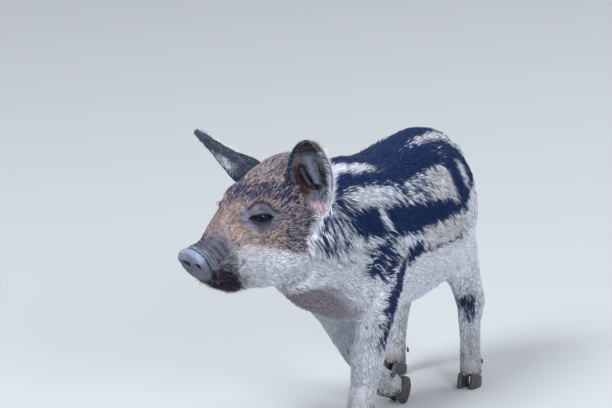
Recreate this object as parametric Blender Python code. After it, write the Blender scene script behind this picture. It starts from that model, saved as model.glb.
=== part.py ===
"""A striped piglet a few weeks old, life size, as a still museum model.

Frame: metres, +Z up. The piglet walks towards -Y and its left side is +X. The origin is on the floor,
under the middle of the model's box. The body is modelled whole from lofted sections, fused and
smoothed, and then parted with thin cuts into the pieces that a person would name. Sizes below are in
millimetres, and so are the meshes until the finished pieces are scaled to metres.
"""

import math

import bmesh
import bpy
from mathutils import Matrix, Vector

MM = 0.001                    # millimetres to metres

# ---- driving dimensions, mm ----
GAP = 0.4                     # width of the thin cuts between pieces
WELD = 0.02                   # points closer than this are one
SLIVER = 200                  # mm3: anything smaller that a cut leaves behind is dropped
VOXEL = 2.3                   # grain of the fused body
SMOOTH_ROUNDS = 6
BODY_TRIANGLES = 3300
RING_POINTS = 28              # points round one section of a loft

# The trunk, rump to breast: y, top, belly, half width, and how much narrower the back is than the belly.
TRUNK = (
    (136, 174, 146, 12, 0.1),
    (130, 195, 122, 26, 0.16),
    (114, 214, 104, 36, 0.2),
    (88, 228, 96, 42, 0.2),
    (52, 234, 91, 46.5, 0.18),
    (10, 231, 88, 49, 0.15),
    (-32, 228, 90, 48, 0.15),
    (-72, 230.5, 93, 46, 0.18),
    (-102, 235, 97, 42, 0.18),
    (-124, 226, 108, 33, 0.1),
    (-138, 190, 132, 18, 0.05),
)
TRUNK_SQUARENESS = 2.15       # exponent of the section: 2 is an ellipse, more is boxier

# The neck, from inside the chest to inside the skull: x, y, z, half width, half height.
NECK = (
    (0, -78, 165, 41, 61),
    (0, -106, 168, 39, 65),
    (-3, -134, 175, 37, 62),
    (-10, -160, 184, 34, 50),
)

# The head's own frame: -Y runs to the snout and the poll is at the origin. Its place and turn:
POLL = (-3, -133, 204)
HEAD_YAW = 27.0               # degrees, to the piglet's right
HEAD_PITCH = 14.0             # degrees, nose down
# Sections, poll to muzzle: y, top, underside, half width.
HEAD = (
    (8, 26, -24, 18),
    (-2, 42, -36, 29),
    (-22, 49, -46, 35.5),
    (-44, 46, -50, 37),
    (-66, 39, -49, 33),
    (-84, 31, -45, 26),
    (-100, 20, -40, 21),
    (-114, 10, -31, 18),
    (-126, 7, -21, 16.5),
)
# Rounded masses on the head: centre and radii, each with its mirror image.
HEAD_MASSES = (
    ((20, -42, -18), (21, 32, 25)),      # cheek
    ((14, -60, 25), (13, 18, 12)),       # brow
    ((23, -70, 17), (8.2, 12, 10)),      # lids round the eye
    ((8, -98, -29), (9, 16, 10)),        # chin
)
# The disc on the end of the snout, and how far its face leans down.
DISC_CENTRE = (0, -131, -6)
DISC_HALF_WIDTH = 17.5
DISC_HALF_HEIGHT = 14.0
DISC_LEAN = 14.0              # degrees
NOSTRIL_SPREAD = 8.4          # from the middle to a nostril
NOSTRIL_RADIUS = 2.6
NOSTRIL_DEPTH = 6.5
EYE_CENTRE = (22, -70, 17)
EYE_RADIUS = 8.0
EYE_OUTWARD = (0.86, -0.48, 0.12)   # the way that the eye looks
LID_OPENING = (7.0, 8.6, 4.1)       # half sizes of the opening's cutter: out, along, up
LID_SLANT = -10.0                   # degrees, against the line of the head
# The hollow of the ear, cut out of the head: centre and radii.
CONCHA = ((33, -24, 28), (12, 12, 24))

# Along an ear: share of its length, width, half angle of its cup in degrees.
EAR_THICKNESS = 3.0
EAR_ROWS = {
    "left": ((0.00, 26, 105), (0.15, 34, 98), (0.35, 40, 80), (0.55, 39, 60), (0.75, 31, 48), (0.90, 21, 42),
             (1.00, 10, 38)),
    "right": ((0.00, 26, 105), (0.15, 34, 98), (0.35, 37, 80), (0.55, 29, 60), (0.75, 18, 50), (0.90, 12, 45),
              (1.00, 6, 40)),
}
# Each ear in the head's frame: root, direction of the tip, way that the cup faces, length, and how far
# the tip folds forward in degrees.
EARS = {
    "left": ((36, -29, 4), (-0.04, 0.16, 1.0), (0.78, -0.6, 0.0), 76, 50),
    "right": ((-31, -30, 12), (-0.45, -0.36, 0.86), (-0.88, -0.59, -0.57), 76, 6),
}

# Legs, top to sole: x, y, z, half width, half depth. The left fore bears the weight, the right fore
# has just pushed off and only its toe tips touch the floor.
LEGS = {
    "foreleg_left": (
        (20, -62, 198, 14, 30),
        (30, -80, 152, 18, 33),
        (32, -80, 124, 17, 26),
        (29, -82, 100, 15, 19),
        (25, -85, 80, 14, 16),
        (23, -87, 62, 14, 15.5),
        (21, -87, 46, 12, 13),
        (19, -88, 31, 12, 13),
        (17, -90, 18, 12, 12.5),
        (16, -91, 4, 12, 12.5),
    ),
    "foreleg_right": (
        (-20, -62, 198, 14, 30),
        (-31, -78, 152, 18, 33),
        (-32, -68, 122, 17, 26),
        (-27, -56, 99, 15, 18.5),
        (-21, -42, 76, 13.2, 15.5),
        (-14, -27, 52, 13.4, 14.5),
        (-8, -14, 33, 10.5, 12),
        (-1, -1, 19.5, 11, 11.5),
        (3.5, 8, 15.8, 11.3, 11.5),
        (8, 17, 14.5, 11, 11),
    ),
    "hindleg_left": (
        (20, 66, 172, 16, 34),
        (26, 81, 142, 18, 31),
        (30, 84, 118, 17, 26),
        (33, 93, 96, 14, 19),
        (34, 101, 78, 12.5, 15.5),
        (34.5, 99, 60, 10, 12.5),
        (36, 98, 42, 8.8, 10.5),
        (37, 97, 28, 9, 10.5),
        (38, 95, 17, 10, 11.5),
        (38, 94, 4, 10, 11.5),
    ),
    "hindleg_right": (
        (-20, 68, 172, 16, 34),
        (-27, 85, 142, 18, 31),
        (-32, 92, 118, 17, 26),
        (-36, 103, 96, 14, 19),
        (-38, 112, 78, 12.5, 15.5),
        (-39, 110, 60, 10, 12.5),
        (-40, 109, 42, 8.8, 10.5),
        (-40, 108, 28, 9, 10.5),
        (-40, 106, 17, 10, 11.5),
        (-40, 105, 4, 10, 11.5),
    ),
}

# Each foot: the middle of its sole, how far it is tipped on to its toes, and its turn, in degrees.
FEET = {
    "foreleg_left": ((16, -92, 0), 0, -6),
    "foreleg_right": ((7.5, 18.5, 13.3), 80, -25),
    "hindleg_left": ((38, 93, 0), 0, 6),
    "hindleg_right": ((-40, 104, 0), 0, -6),
}
HOOF_FRONT = 15.0             # from the middle of the sole to the toe tip
HOOF_BACK = 10.0
HOOF_HALF_WIDTH = {"foreleg": 5.4, "hindleg": 4.8}
HOOF_CLEFT = 1.4              # between the two claws
CORONET_HEIGHT = 11.0         # where the hair ends above the middle of the sole
CORONET_SLOPE = 0.3           # the coronet is higher in front
DEWCLAW = {"foreleg": (6.5, 12.5, 21), "hindleg": (5.5, 11.0, 21)}   # from the middle of the sole
DEWCLAW_LENGTH = 9.0
DEWCLAW_RADIUS = 3.2

# The tail: x, y, z, radius.
TAIL = (
    (0, 120, 202, 8),
    (0, 133, 198, 6.6),
    (2, 142, 186, 5.4),
    (4, 146, 168, 4.4),
    (4, 146, 150, 3.6),
    (1, 145, 132, 3),
    (-1, 146, 116, 2),
)

HAIR_DARK = (0.035, 0.037, 0.05, 1)
HAIR_PALE = (0.62, 0.6, 0.58, 1)
HAIR_GREY = (0.3, 0.3, 0.32, 1)
FACE_TAN = (0.3, 0.23, 0.19, 1)
SNOUT_SLATE = (0.16, 0.16, 0.18, 1)
HOOF_HORN = (0.07, 0.06, 0.06, 1)
EYE_BROWN = (0.015, 0.01, 0.01, 1)


# ---- small tools ----

def clear_scene():
    for old in list(bpy.data.objects):
        bpy.data.objects.remove(old, do_unlink=True)


def material(name, colour, roughness):
    made = bpy.data.materials.get(name) or bpy.data.materials.new(name)
    made.use_nodes = True
    shader = made.node_tree.nodes["Principled BSDF"]
    shader.inputs["Base Color"].default_value = colour
    shader.inputs["Roughness"].default_value = roughness
    shader.inputs["Metallic"].default_value = 0.0
    return made


def put(name, mesh, finish=None):
    """An object of this mesh in the scene."""
    thing = bpy.data.objects.new(name, mesh)
    bpy.context.scene.collection.objects.link(thing)
    if finish:
        mesh.materials.clear()
        mesh.materials.append(finish)
    return thing


def curve_through(rows, steps):
    """Rows of numbers joined by a smooth curve through every row, with steps between each two."""
    out = []
    last = len(rows) - 1
    for i in range(last):
        before, start, end, after = (rows[max(0, min(last, k))] for k in (i - 1, i, i + 1, i + 2))
        for step in range(steps):
            t = step / steps
            out.append([
                0.5 * (2 * b + (c - a) * t + (2 * a - 5 * b + 4 * c - d) * t * t
                       + (3 * b - a - 3 * c + d) * t ** 3)
                for a, b, c, d in zip(before, start, end, after)
            ])
    out.append(list(rows[last]))
    return out


def section(centre, side, up, half_width, rise, drop, squareness=2.0, taper=0.0, points=RING_POINTS):
    """One closed ring of points: a superellipse, narrower above than below by the taper."""
    ring = []
    for k in range(points):
        angle = 2 * math.pi * k / points
        c, s = math.cos(angle), math.sin(angle)
        across = math.copysign(abs(c) ** (2 / squareness), c) * half_width * (1 - taper * s)
        height = math.copysign(abs(s) ** (2 / squareness), s) * (rise if s > 0 else drop)
        ring.append(centre + side * across + up * height)
    return ring


def loft(rings, folded=False):
    """A closed mesh through the rings, its faces pointing out. Each end is closed with a fan, or where
    a ring is a strip folded back on itself, from side to side across the strip."""
    bm = bmesh.new()
    loops = [[bm.verts.new(p) for p in ring] for ring in rings]
    count = len(loops[0])
    for a, b in zip(loops, loops[1:]):
        for k in range(count):
            n = (k + 1) % count
            bm.faces.new((a[k], a[n], b[n], b[k]))
    for loop in (loops[0], loops[-1]):
        if folded:
            for k in range(count // 2 - 1):
                bm.faces.new((loop[k], loop[k + 1], loop[count - 2 - k], loop[count - 1 - k]))
            continue
        hub = bm.verts.new(sum((v.co for v in loop), Vector()) / count)
        for k in range(count):
            bm.faces.new((loop[k], loop[(k + 1) % count], hub))
    bmesh.ops.recalc_face_normals(bm, faces=bm.faces)
    mesh = bpy.data.meshes.new("loft")
    bm.to_mesh(mesh)
    bm.free()
    return mesh


def tube(rows, steps=3, points=RING_POINTS):
    """A limb: rows of x, y, z, half width and half depth, its sections square to its own line."""
    line = curve_through(rows, steps)
    rings = []
    for i, (x, y, z, wide, deep) in enumerate(line):
        ahead, behind = line[min(i + 1, len(line) - 1)], line[max(i - 1, 0)]
        along = Vector(ahead[:3]) - Vector(behind[:3])
        along.normalize()
        side = Vector((1, 0, 0))
        side = (side - along * side.dot(along)).normalized()
        up = along.cross(side)
        rings.append(section(Vector((x, y, z)), side, up, wide, deep, deep, points=points))
    return loft(rings)


def ellipsoid(centre, radii, turn=Matrix.Identity(4), segments=16):
    bm = bmesh.new()
    bmesh.ops.create_uvsphere(bm, u_segments=segments, v_segments=segments // 2, radius=1)
    size = Matrix.Diagonal((*radii, 1))
    place = Matrix.Translation(Vector(centre))
    bm.transform(turn @ place @ size)
    mesh = bpy.data.meshes.new("ellipsoid")
    bm.to_mesh(mesh)
    bm.free()
    return mesh


def disc(centre, normal, radius, thickness, turn=Matrix.Identity(4), segments=16):
    """A flat round plate, used as a cutter, in mm."""
    bm = bmesh.new()
    bmesh.ops.create_cone(
        bm, cap_ends=True, segments=segments, radius1=radius, radius2=radius, depth=thickness)
    lean = Vector((0, 0, 1)).rotation_difference(Vector(normal).normalized()).to_matrix().to_4x4()
    bm.transform(turn @ Matrix.Translation(Vector(centre)) @ lean)
    mesh = bpy.data.meshes.new("disc")
    bm.to_mesh(mesh)
    bm.free()
    return mesh


def evaluated(thing, name="solid"):
    """The object's mesh with its modifiers applied, and the object removed."""
    graph = bpy.context.evaluated_depsgraph_get()
    graph.update()
    mesh = bpy.data.meshes.new_from_object(thing.evaluated_get(graph))
    mesh.name = name
    bpy.data.objects.remove(thing, do_unlink=True)
    return mesh


def joined(meshes):
    """Several meshes as one, still overlapping."""
    bm = bmesh.new()
    for mesh in meshes:
        bm.from_mesh(mesh)
    out = bpy.data.meshes.new("joined")
    bm.to_mesh(out)
    bm.free()
    return out


def fused(meshes, triangles):
    """Overlapping forms made one smooth skin of about this many triangles."""
    thing = put("fused", joined(meshes))
    remesh = thing.modifiers.new("remesh", "REMESH")
    remesh.mode = "VOXEL"
    remesh.voxel_size = VOXEL
    smooth = thing.modifiers.new("smooth", "SMOOTH")
    smooth.factor = 0.5
    smooth.iterations = SMOOTH_ROUNDS
    mesh = evaluated(thing)
    faces = sum(len(p.vertices) - 2 for p in mesh.polygons)
    thing = put("fused", mesh)
    thin = thing.modifiers.new("decimate", "DECIMATE")
    thin.ratio = triangles / faces
    return evaluated(thing, "body")


def tidied(mesh):
    """The mesh with its needle-thin faces welded away, so that the next cut is sound."""
    bm = bmesh.new()
    bm.from_mesh(mesh)
    bmesh.ops.remove_doubles(bm, verts=bm.verts, dist=WELD)
    bmesh.ops.dissolve_degenerate(bm, dist=WELD, edges=bm.edges)
    bmesh.ops.triangulate(bm, faces=bm.faces)
    bm.to_mesh(mesh)
    bm.free()
    return mesh


def minus(mesh, *groups):
    """The mesh less the cutters, taken a group at a time. The cutters of a group keep clear of each other."""
    for cutters in groups:
        thing = put("cut", mesh)
        tool = put("cutter", joined(cutters))
        cut = thing.modifiers.new("cut", "BOOLEAN")
        cut.operation = "DIFFERENCE"
        cut.solver = "EXACT"
        cut.object = tool
        mesh = tidied(evaluated(thing))
        bpy.data.objects.remove(tool, do_unlink=True)
    return mesh


def swollen(mesh, by):
    """The mesh grown outwards by this many mm."""
    bm = bmesh.new()
    bm.from_mesh(mesh)
    bm.normal_update()
    for vert in bm.verts:
        vert.co += vert.normal * by
    out = bpy.data.meshes.new("swollen")
    bm.to_mesh(out)
    bm.free()
    return out


def islands(mesh):
    """The mesh's separate bodies, as meshes."""
    bm = bmesh.new()
    bm.from_mesh(mesh)
    left = set(bm.verts)
    found = []
    while left:
        seed = left.pop()
        group, edge = {seed}, [seed]
        while edge:
            for link in edge.pop().link_edges:
                for vert in link.verts:
                    if vert not in group:
                        group.add(vert)
                        edge.append(vert)
        left -= group
        found.append({v.index for v in group})
    bm.free()
    meshes = []
    for group in found:
        bm = bmesh.new()
        bm.from_mesh(mesh)
        bm.verts.ensure_lookup_table()
        extra = [v for v in bm.verts if v.index not in group]
        bmesh.ops.delete(bm, geom=extra, context="VERTS")
        out = bpy.data.meshes.new("island")
        bm.to_mesh(out)
        bm.free()
        meshes.append(out)
    return meshes


def volume(mesh):
    """The mesh's volume in mm3."""
    bm = bmesh.new()
    bm.from_mesh(mesh)
    size = abs(bm.calc_volume())
    bm.free()
    return size


def middle(mesh):
    """The mean of the mesh's points, in mm."""
    return sum((v.co for v in mesh.vertices), Vector()) / len(mesh.vertices)


# ---- the head's frame ----

def head_frame():
    yaw = Matrix.Rotation(-math.radians(HEAD_YAW), 4, "Z")
    pitch = Matrix.Rotation(math.radians(HEAD_PITCH), 4, "X")
    return Matrix.Translation(Vector(POLL)) @ yaw @ pitch


HEAD_PLACE = head_frame()


def mirrored(point):
    return (-point[0], point[1], point[2])


# ---- forms of flesh ----

def trunk_form():
    rings = []
    for y, top, belly, half, taper in curve_through(TRUNK, 3):
        middle_z = (top + belly) / 2
        rings.append(section(
            Vector((0, y, middle_z)), Vector((1, 0, 0)), Vector((0, 0, 1)),
            half, top - middle_z, middle_z - belly, TRUNK_SQUARENESS, taper))
    return loft(rings)


def neck_form():
    return tube([(x, y, z, wide, high) for x, y, z, wide, high in NECK])


def head_forms():
    rings = []
    for y, top, under, half in curve_through(HEAD, 3):
        level = (top + under) / 2
        ring = section(
            Vector((0, y, level)), Vector((1, 0, 0)), Vector((0, 0, 1)),
            half, top - level, level - under, 2.15)
        rings.append([HEAD_PLACE @ p for p in ring])
    forms = [loft(rings)]
    for centre, radii in HEAD_MASSES:
        forms.append(ellipsoid(centre, radii, HEAD_PLACE))
        forms.append(ellipsoid(mirrored(centre), radii, HEAD_PLACE))
    return forms


def disc_frame():
    lean = Matrix.Rotation(math.radians(DISC_LEAN), 4, "X")
    return HEAD_PLACE @ Matrix.Translation(Vector(DISC_CENTRE)) @ lean


def disc_form():
    """The snout's end: a short turned pad with a rounded rim, wider than the muzzle."""
    place = disc_frame()
    rings = []
    # share of the full size, and distance behind the face
    for share, back in ((0.55, 0.6), (0.86, 0), (0.98, 2), (1.0, 5), (0.97, 8), (0.88, 12), (0.8, 18)):
        ring = section(
            Vector((0, back, 0)), Vector((1, 0, 0)), Vector((0, 0, 1)),
            DISC_HALF_WIDTH * share, DISC_HALF_HEIGHT * share, DISC_HALF_HEIGHT * share, 2.3)
        rings.append([place @ p for p in ring])
    return loft(rings)


def ear_form(side):
    root, tip, facing, length, bend = EARS[side]
    turn = HEAD_PLACE.to_3x3()
    along = (turn @ Vector(tip)).normalized()
    face = turn @ Vector(facing)
    face = (face - along * face.dot(along)).normalized()
    across = along.cross(face)
    place = HEAD_PLACE @ Vector(root)
    rings = []
    done = 0.0
    for share, width, half_angle in curve_through(EAR_ROWS[side], 2):
        step = (share - done) * length
        done = share
        lean = math.radians(bend) * share * share
        way = along * math.cos(lean) + face * math.sin(lean)
        out = face * math.cos(lean) - along * math.sin(lean)
        place = place + way * step
        cup = math.radians(half_angle)
        radius = width / 2 / math.sin(min(cup, math.pi / 2))
        wall = min(EAR_THICKNESS, radius * 0.8)
        rim = radius * math.cos(cup)
        outer, inner = [], []
        for k in range(9):
            angle = cup * (k / 4 - 1)
            for ring, r in ((outer, radius), (inner, radius - wall)):
                ring.append(place + across * r * math.sin(angle) + out * (rim - r * math.cos(angle)))
        rings.append(outer + inner[::-1])
    return loft(rings, folded=True)


def tail_form():
    return tube([(x, y, z, radius, radius) for x, y, z, radius in TAIL], 2, 10)


def eye_frame(side):
    """The eye's own frame: +X looks out of the socket and Y runs along the slit."""
    centre, out = Vector(EYE_CENTRE), Vector(EYE_OUTWARD)
    if side < 0:
        centre, out = Vector(mirrored(centre)), Vector(mirrored(out))
    out.normalize()
    along = Vector((0, 0, 1)).cross(out).normalized()
    turn = Matrix((out, along, out.cross(along))).transposed().to_4x4()
    slant = Matrix.Rotation(math.radians(LID_SLANT) * side, 4, "X")
    return HEAD_PLACE @ Matrix.Translation(centre) @ turn @ slant


# ---- feet, each in its own frame with the sole at z = 0 and the toes towards -Y ----

def foot_frame(leg):
    place, tip, turn = FEET[leg]
    turned = Matrix.Rotation(math.radians(turn), 4, "Z") @ Matrix.Rotation(math.radians(tip), 4, "X")
    return Matrix.Translation(Vector(place)) @ turned


def coronet(y, above=0.0):
    return CORONET_HEIGHT - CORONET_SLOPE * y + above


def foot_space(leg):
    """The space below the coronet, cut off the leg to make room for the hoof."""
    bm = bmesh.new()
    reach = 24
    for y in (-reach, reach):
        for x, z in ((-reach, -reach), (reach, -reach), (reach, coronet(y)), (-reach, coronet(y))):
            bm.verts.new(Vector((x, y, z)))
    v = list(bm.verts)
    for face in ((0, 1, 2, 3), (7, 6, 5, 4), (0, 4, 5, 1), (1, 5, 6, 2), (2, 6, 7, 3), (3, 7, 4, 0)):
        bm.faces.new([v[i] for i in face])
    bmesh.ops.recalc_face_normals(bm, faces=bm.faces)
    bm.transform(foot_frame(leg))
    mesh = bpy.data.meshes.new("foot_space")
    bm.to_mesh(mesh)
    bm.free()
    return mesh


def hoof_form(leg, side):
    """One claw: rounded outside, flatter towards the cleft, its sole flat and its front wall sloping."""
    half = HOOF_HALF_WIDTH[leg.split("_")[0]]
    place = foot_frame(leg)
    rings = []
    # share of the height, half width, reach in front, reach behind
    for level, wide, front, back in (
            (0.0, 0.93, 0.97, 0.93), (0.06, 1.0, 1.0, 1.0), (0.4, 1.0, 0.9, 1.04), (1.0, 0.93, 0.62, 1.1)):
        ring = []
        for k in range(14):
            angle = 2 * math.pi * k / 14
            c, s = math.cos(angle), math.sin(angle)
            ahead = max(s, 0)
            flat = 0.86 if c * side < 0 else 1.0
            x = side * (half + HOOF_CLEFT / 2) + c * half * wide * flat * (1 - 0.25 * ahead ** 3)
            y = -s * (HOOF_FRONT * front if s > 0 else HOOF_BACK * back)
            z = level * coronet(y, -GAP)
            ring.append(place @ Vector((x, y, z)))
        rings.append(ring)
    return loft(rings)


def below_floor(leg):
    """A plate under the floor, which leaves flats on toes that reach below it."""
    bm = bmesh.new()
    x, y, _ = FEET[leg][0]
    bmesh.ops.create_cube(bm, size=20)
    bm.transform(Matrix.Translation((x, y, -10)) @ Matrix.Diagonal((3, 3, 1, 1)))
    mesh = bpy.data.meshes.new("below_floor")
    bm.to_mesh(mesh)
    bm.free()
    return mesh


def dewclaw_form(leg, side):
    place = foot_frame(leg)
    x, y, z = DEWCLAW[leg.split("_")[0]]
    start = Vector((x * side, y - 6, z + 3))
    way = Vector((0.25 * side, 0.75, -0.6)).normalized()
    across = way.cross(Vector((0, 0, 1))).normalized()
    rings = []
    for share, size in ((0, 1), (0.35, 1), (0.65, 0.85), (0.88, 0.55), (1.0, 0.25)):
        radius = DEWCLAW_RADIUS * size
        ring = section(start + way * share * DEWCLAW_LENGTH, across, across.cross(way),
                       radius, radius, radius, points=8)
        rings.append([place @ p for p in ring])
    return loft(rings)


# ---- cutting the whole into pieces ----

# Where the thin cuts lie in the body's frame: centre, the way the plate faces, radius.
CUTS = (
    ((-15, -141, 180), (0.25, 0.96, 0.1), 95),        # head from neck
    ((-2, -115, 170), (0.08, 0.99, 0.08), 92),        # neck from trunk
    ((28, -82, 89), (-0.2, 0.0, 0.98), 30),           # legs from trunk, at elbow and stifle
    ((-24, -49, 85), (0.2, 0.0, 0.98), 30),
    ((33, 95, 92), (-0.2, 0.0, 0.98), 30),
    ((-37, 105, 92), (0.2, 0.0, 0.98), 30),
    ((23, -87, 60), (0, 0, 1), 24),                   # at the knee and hock
    ((-16, -31, 58), (-0.24, -0.51, 0.82), 24),
    ((34, 100, 66), (0, 0, 1), 24),
    ((-39, 111, 66), (0, 0, 1), 24),
)
SNOUT_DEPTH = 9.0             # the snout's piece, behind its face

# A point inside each piece of the body, used to name the pieces.
SEEDS = {
    "trunk": (0, 0, 160),
    "neck": (-8, -128, 170),
    "head": (-28, -188, 180),
    "snout": (-57, -241, 167),
    "foreleg_left_upper": (25, -84, 75),
    "foreleg_left_lower": (19, -88, 36),
    "foreleg_right_upper": (-19, -40, 72),
    "foreleg_right_lower": (-6, -12, 32),
    "hindleg_left_upper": (34, 98, 79),
    "hindleg_left_lower": (36, 98, 39),
    "hindleg_right_upper": (-38, 108, 79),
    "hindleg_right_lower": (-39, 109, 39),
}


def whole_body():
    forms = [trunk_form(), neck_form(), disc_form(), *head_forms()]
    forms += [tube(rows) for rows in LEGS.values()]
    hollows = [ellipsoid(place, CONCHA[1], HEAD_PLACE) for place in (CONCHA[0], mirrored(CONCHA[0]))]
    return minus(fused(forms, BODY_TRIANGLES), hollows)


def body_pieces(whole):
    """The flesh modelled whole, then parted, as a mesh for each name."""
    plates = [disc(centre, way, radius, GAP) for centre, way, radius in CUTS]
    plates.append(disc((0, SNOUT_DEPTH, 0), (0, 1, 0), 38, GAP, disc_frame()))
    sockets, slits, nostrils = [], [], []
    for side in (1, -1):
        sockets.append(ellipsoid((0, 0, 0), (EYE_RADIUS + GAP,) * 3, eye_frame(side)))
        slits.append(ellipsoid((EYE_RADIUS + 1, 0, 0), LID_OPENING, eye_frame(side), 14))
        place = disc_frame() @ Matrix.Translation(Vector((NOSTRIL_SPREAD * side, 0, 0)))
        size = (NOSTRIL_RADIUS, NOSTRIL_DEPTH, NOSTRIL_RADIUS * 1.4)
        nostrils.append(ellipsoid((0, 0, 0), size, place, 12))
    feet = [foot_space(leg) for leg in FEET]
    pieces = {}
    for mesh in islands(minus(whole, feet, sockets + nostrils, slits, plates)):
        if volume(mesh) < SLIVER:
            continue
        at = middle(mesh)
        name = min(SEEDS, key=lambda n: (Vector(SEEDS[n]) - at).length)
        if name in pieces:
            raise RuntimeError("two pieces named " + name)
        pieces[name] = mesh
    if len(pieces) != len(SEEDS):
        raise RuntimeError("missing " + ", ".join(set(SEEDS) - set(pieces)))
    return pieces


def all_pieces():
    whole = whole_body()
    clear_of = swollen(whole, GAP)
    pieces = body_pieces(whole)
    for side in EARS:
        pieces["ear_" + side] = minus(ear_form(side), [clear_of])
    pieces["tail"] = minus(tail_form(), [clear_of])
    for side, sign in (("left", 1), ("right", -1)):
        pieces["eye_" + side] = ellipsoid((0, 0, 0), (EYE_RADIUS,) * 3, eye_frame(sign))
    for leg in LEGS:
        for side, sign in (("left", 1), ("right", -1)):
            hoof = hoof_form(leg, sign)
            tipped = FEET[leg][1] > 0
            pieces[f"{leg}_hoof_{side}"] = minus(hoof, [below_floor(leg)]) if tipped else hoof
            pieces[f"{leg}_dewclaw_{side}"] = minus(dewclaw_form(leg, sign), [clear_of])
    return pieces


def finish_for(name, finishes):
    for part, finish in finishes.items():
        if part in name:
            return finish
    return finishes["leg"]


def settle(pieces):
    """Puts the origin on the floor under the middle of the box, and makes the pieces metres."""
    low, high = Vector((1e9,) * 3), Vector((-1e9,) * 3)
    for mesh in pieces.values():
        for vert in mesh.vertices:
            for i in range(3):
                low[i] = min(low[i], vert.co[i])
                high[i] = max(high[i], vert.co[i])
    shift = Vector((-(low.x + high.x) / 2, -(low.y + high.y) / 2, -low.z))
    for mesh in pieces.values():
        mesh.transform(Matrix.Scale(MM, 4) @ Matrix.Translation(shift))


def main():
    clear_scene()
    pieces = all_pieces()
    settle(pieces)
    finishes = {
        "hoof": material("hoof_horn", HOOF_HORN, 0.45),
        "dewclaw": material("dewclaw_horn", HOOF_HORN, 0.5),
        "eye": material("eye_brown", EYE_BROWN, 0.15),
        "ear": material("ear_dark", HAIR_DARK, 0.7),
        "snout": material("snout_slate", SNOUT_SLATE, 0.5),
        "head": material("head_tan", FACE_TAN, 0.75),
        "neck": material("neck_grey", HAIR_GREY, 0.75),
        "trunk": material("trunk_dark", HAIR_DARK, 0.75),
        "tail": material("tail_grey", HAIR_GREY, 0.75),
        "leg": material("leg_pale", HAIR_PALE, 0.75),
    }
    for name, mesh in pieces.items():
        mesh.name = name
        put(name, mesh, finish_for(name, finishes))


main()
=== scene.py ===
"""The looks of a striped piglet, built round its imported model.

One skin stands for all the pieces of flesh. It lies inside them by the depth of the coat, and the coat
stands on it as thin tufts of solid mesh. The eyes and the horn of the feet are pieces of their own.
The body's own frame is in millimetres, with the piglet facing -Y and its left side towards +X.
"""

import math

import bpy
import numpy as np
from mathutils import Matrix, Vector, kdtree


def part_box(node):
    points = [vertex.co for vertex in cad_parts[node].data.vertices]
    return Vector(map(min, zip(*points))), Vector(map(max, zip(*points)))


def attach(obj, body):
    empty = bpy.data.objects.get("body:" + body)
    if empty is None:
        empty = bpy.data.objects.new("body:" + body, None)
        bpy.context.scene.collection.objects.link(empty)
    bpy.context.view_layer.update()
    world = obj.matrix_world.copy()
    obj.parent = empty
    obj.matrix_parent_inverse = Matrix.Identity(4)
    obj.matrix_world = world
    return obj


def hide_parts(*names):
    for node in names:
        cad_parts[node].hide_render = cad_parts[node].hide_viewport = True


bl_info = {
    "name": "Striped piglet",
    "version": (1, 0, 0),
    "blender": (4, 5, 0),
    "location": "3D View > Sidebar > Piglet",
    "description": "Skin, coat, eyes, feet and studio for a striped piglet",
    "category": "Add Mesh",
}

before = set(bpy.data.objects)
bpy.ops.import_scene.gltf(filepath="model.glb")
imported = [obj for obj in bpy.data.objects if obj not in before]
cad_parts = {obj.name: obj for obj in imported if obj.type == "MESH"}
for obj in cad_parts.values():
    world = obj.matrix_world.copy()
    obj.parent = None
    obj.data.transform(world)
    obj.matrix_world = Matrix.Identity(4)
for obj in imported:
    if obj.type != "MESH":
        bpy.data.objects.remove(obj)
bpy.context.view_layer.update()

MM = 0.001                    # millimetres to metres
SEED = 7

# ---- places on the body, mm ----
POLL = np.array((-3.0, -133.0, 204.0))   # the head's own frame starts here, and -Y runs to the snout
HEAD_YAW = -27.0
HEAD_PITCH = 14.0
NECK_CUT = np.array((-15.0, -141.0, 180.0))
NECK_CUT_WAY = np.array((0.25, 0.96, 0.1))
TRUNK_AXIS_HEIGHT = 163.0     # angles round the trunk are taken about this height
EYE_CENTRE = np.array((22.0, -70.0, 17.0))
EYE_OUTWARD = np.array((0.86, -0.48, 0.12))
EYE_RADIUS = 8.0
LID_SLANT = -10.0
LID_HALF_LENGTH = 9.0
UPPER_LID_RISE = 3.7
LOWER_LID_DROP = 2.9
DISC_CENTRE = np.array((0.0, -131.0, -6.0))
DISC_LEAN = 14.0
DISC_HALF_WIDTH = 17.5
DISC_HALF_HEIGHT = 14.0
DISC_ROUNDNESS = 2 / 2.3      # power that squares its outline a little
# Its side, from the middle of its face back: share of its size, and mm behind the face.
DISC_PROFILE = (
    (0.35, 0.9), (0.6, 0.7), (0.8, 0.25), (0.9, 0.1), (0.955, 0.7), (0.985, 2), (0.99, 4), (0.965, 6.5),
    (0.92, 9), (0.86, 13), (0.78, 18))
NOSTRIL_SPREAD = 8.4
NOSTRIL_SIZE = (5.0, 3.4)     # half width and half height
NOSTRIL_DEPTH = 6.5

# An ear's outline: share of its length, width, half angle of the cup in degrees.
EAR_ROWS = {
    1: ((0, 26, 105), (0.15, 34, 98), (0.35, 40, 80), (0.55, 39, 60), (0.75, 31, 48), (0.9, 21, 42),
        (1, 10, 38)),
    -1: ((0, 26, 105), (0.15, 34, 98), (0.35, 37, 80), (0.55, 29, 60), (0.75, 18, 50), (0.9, 12, 45),
         (1, 6, 40)),
}
EAR_THICKNESS = 3.0
# Root, direction of the tip, way that the cup faces, length, and the fold of the tip in degrees.
EARS = {
    1: ((36, -29, 4), (-0.04, 0.16, 1.0), (0.78, -0.6, 0.0), 73, 50),
    -1: ((-31, -30, 12), (-0.45, -0.36, 0.86), (-0.88, -0.59, -0.57), 76, 6),
}
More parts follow.
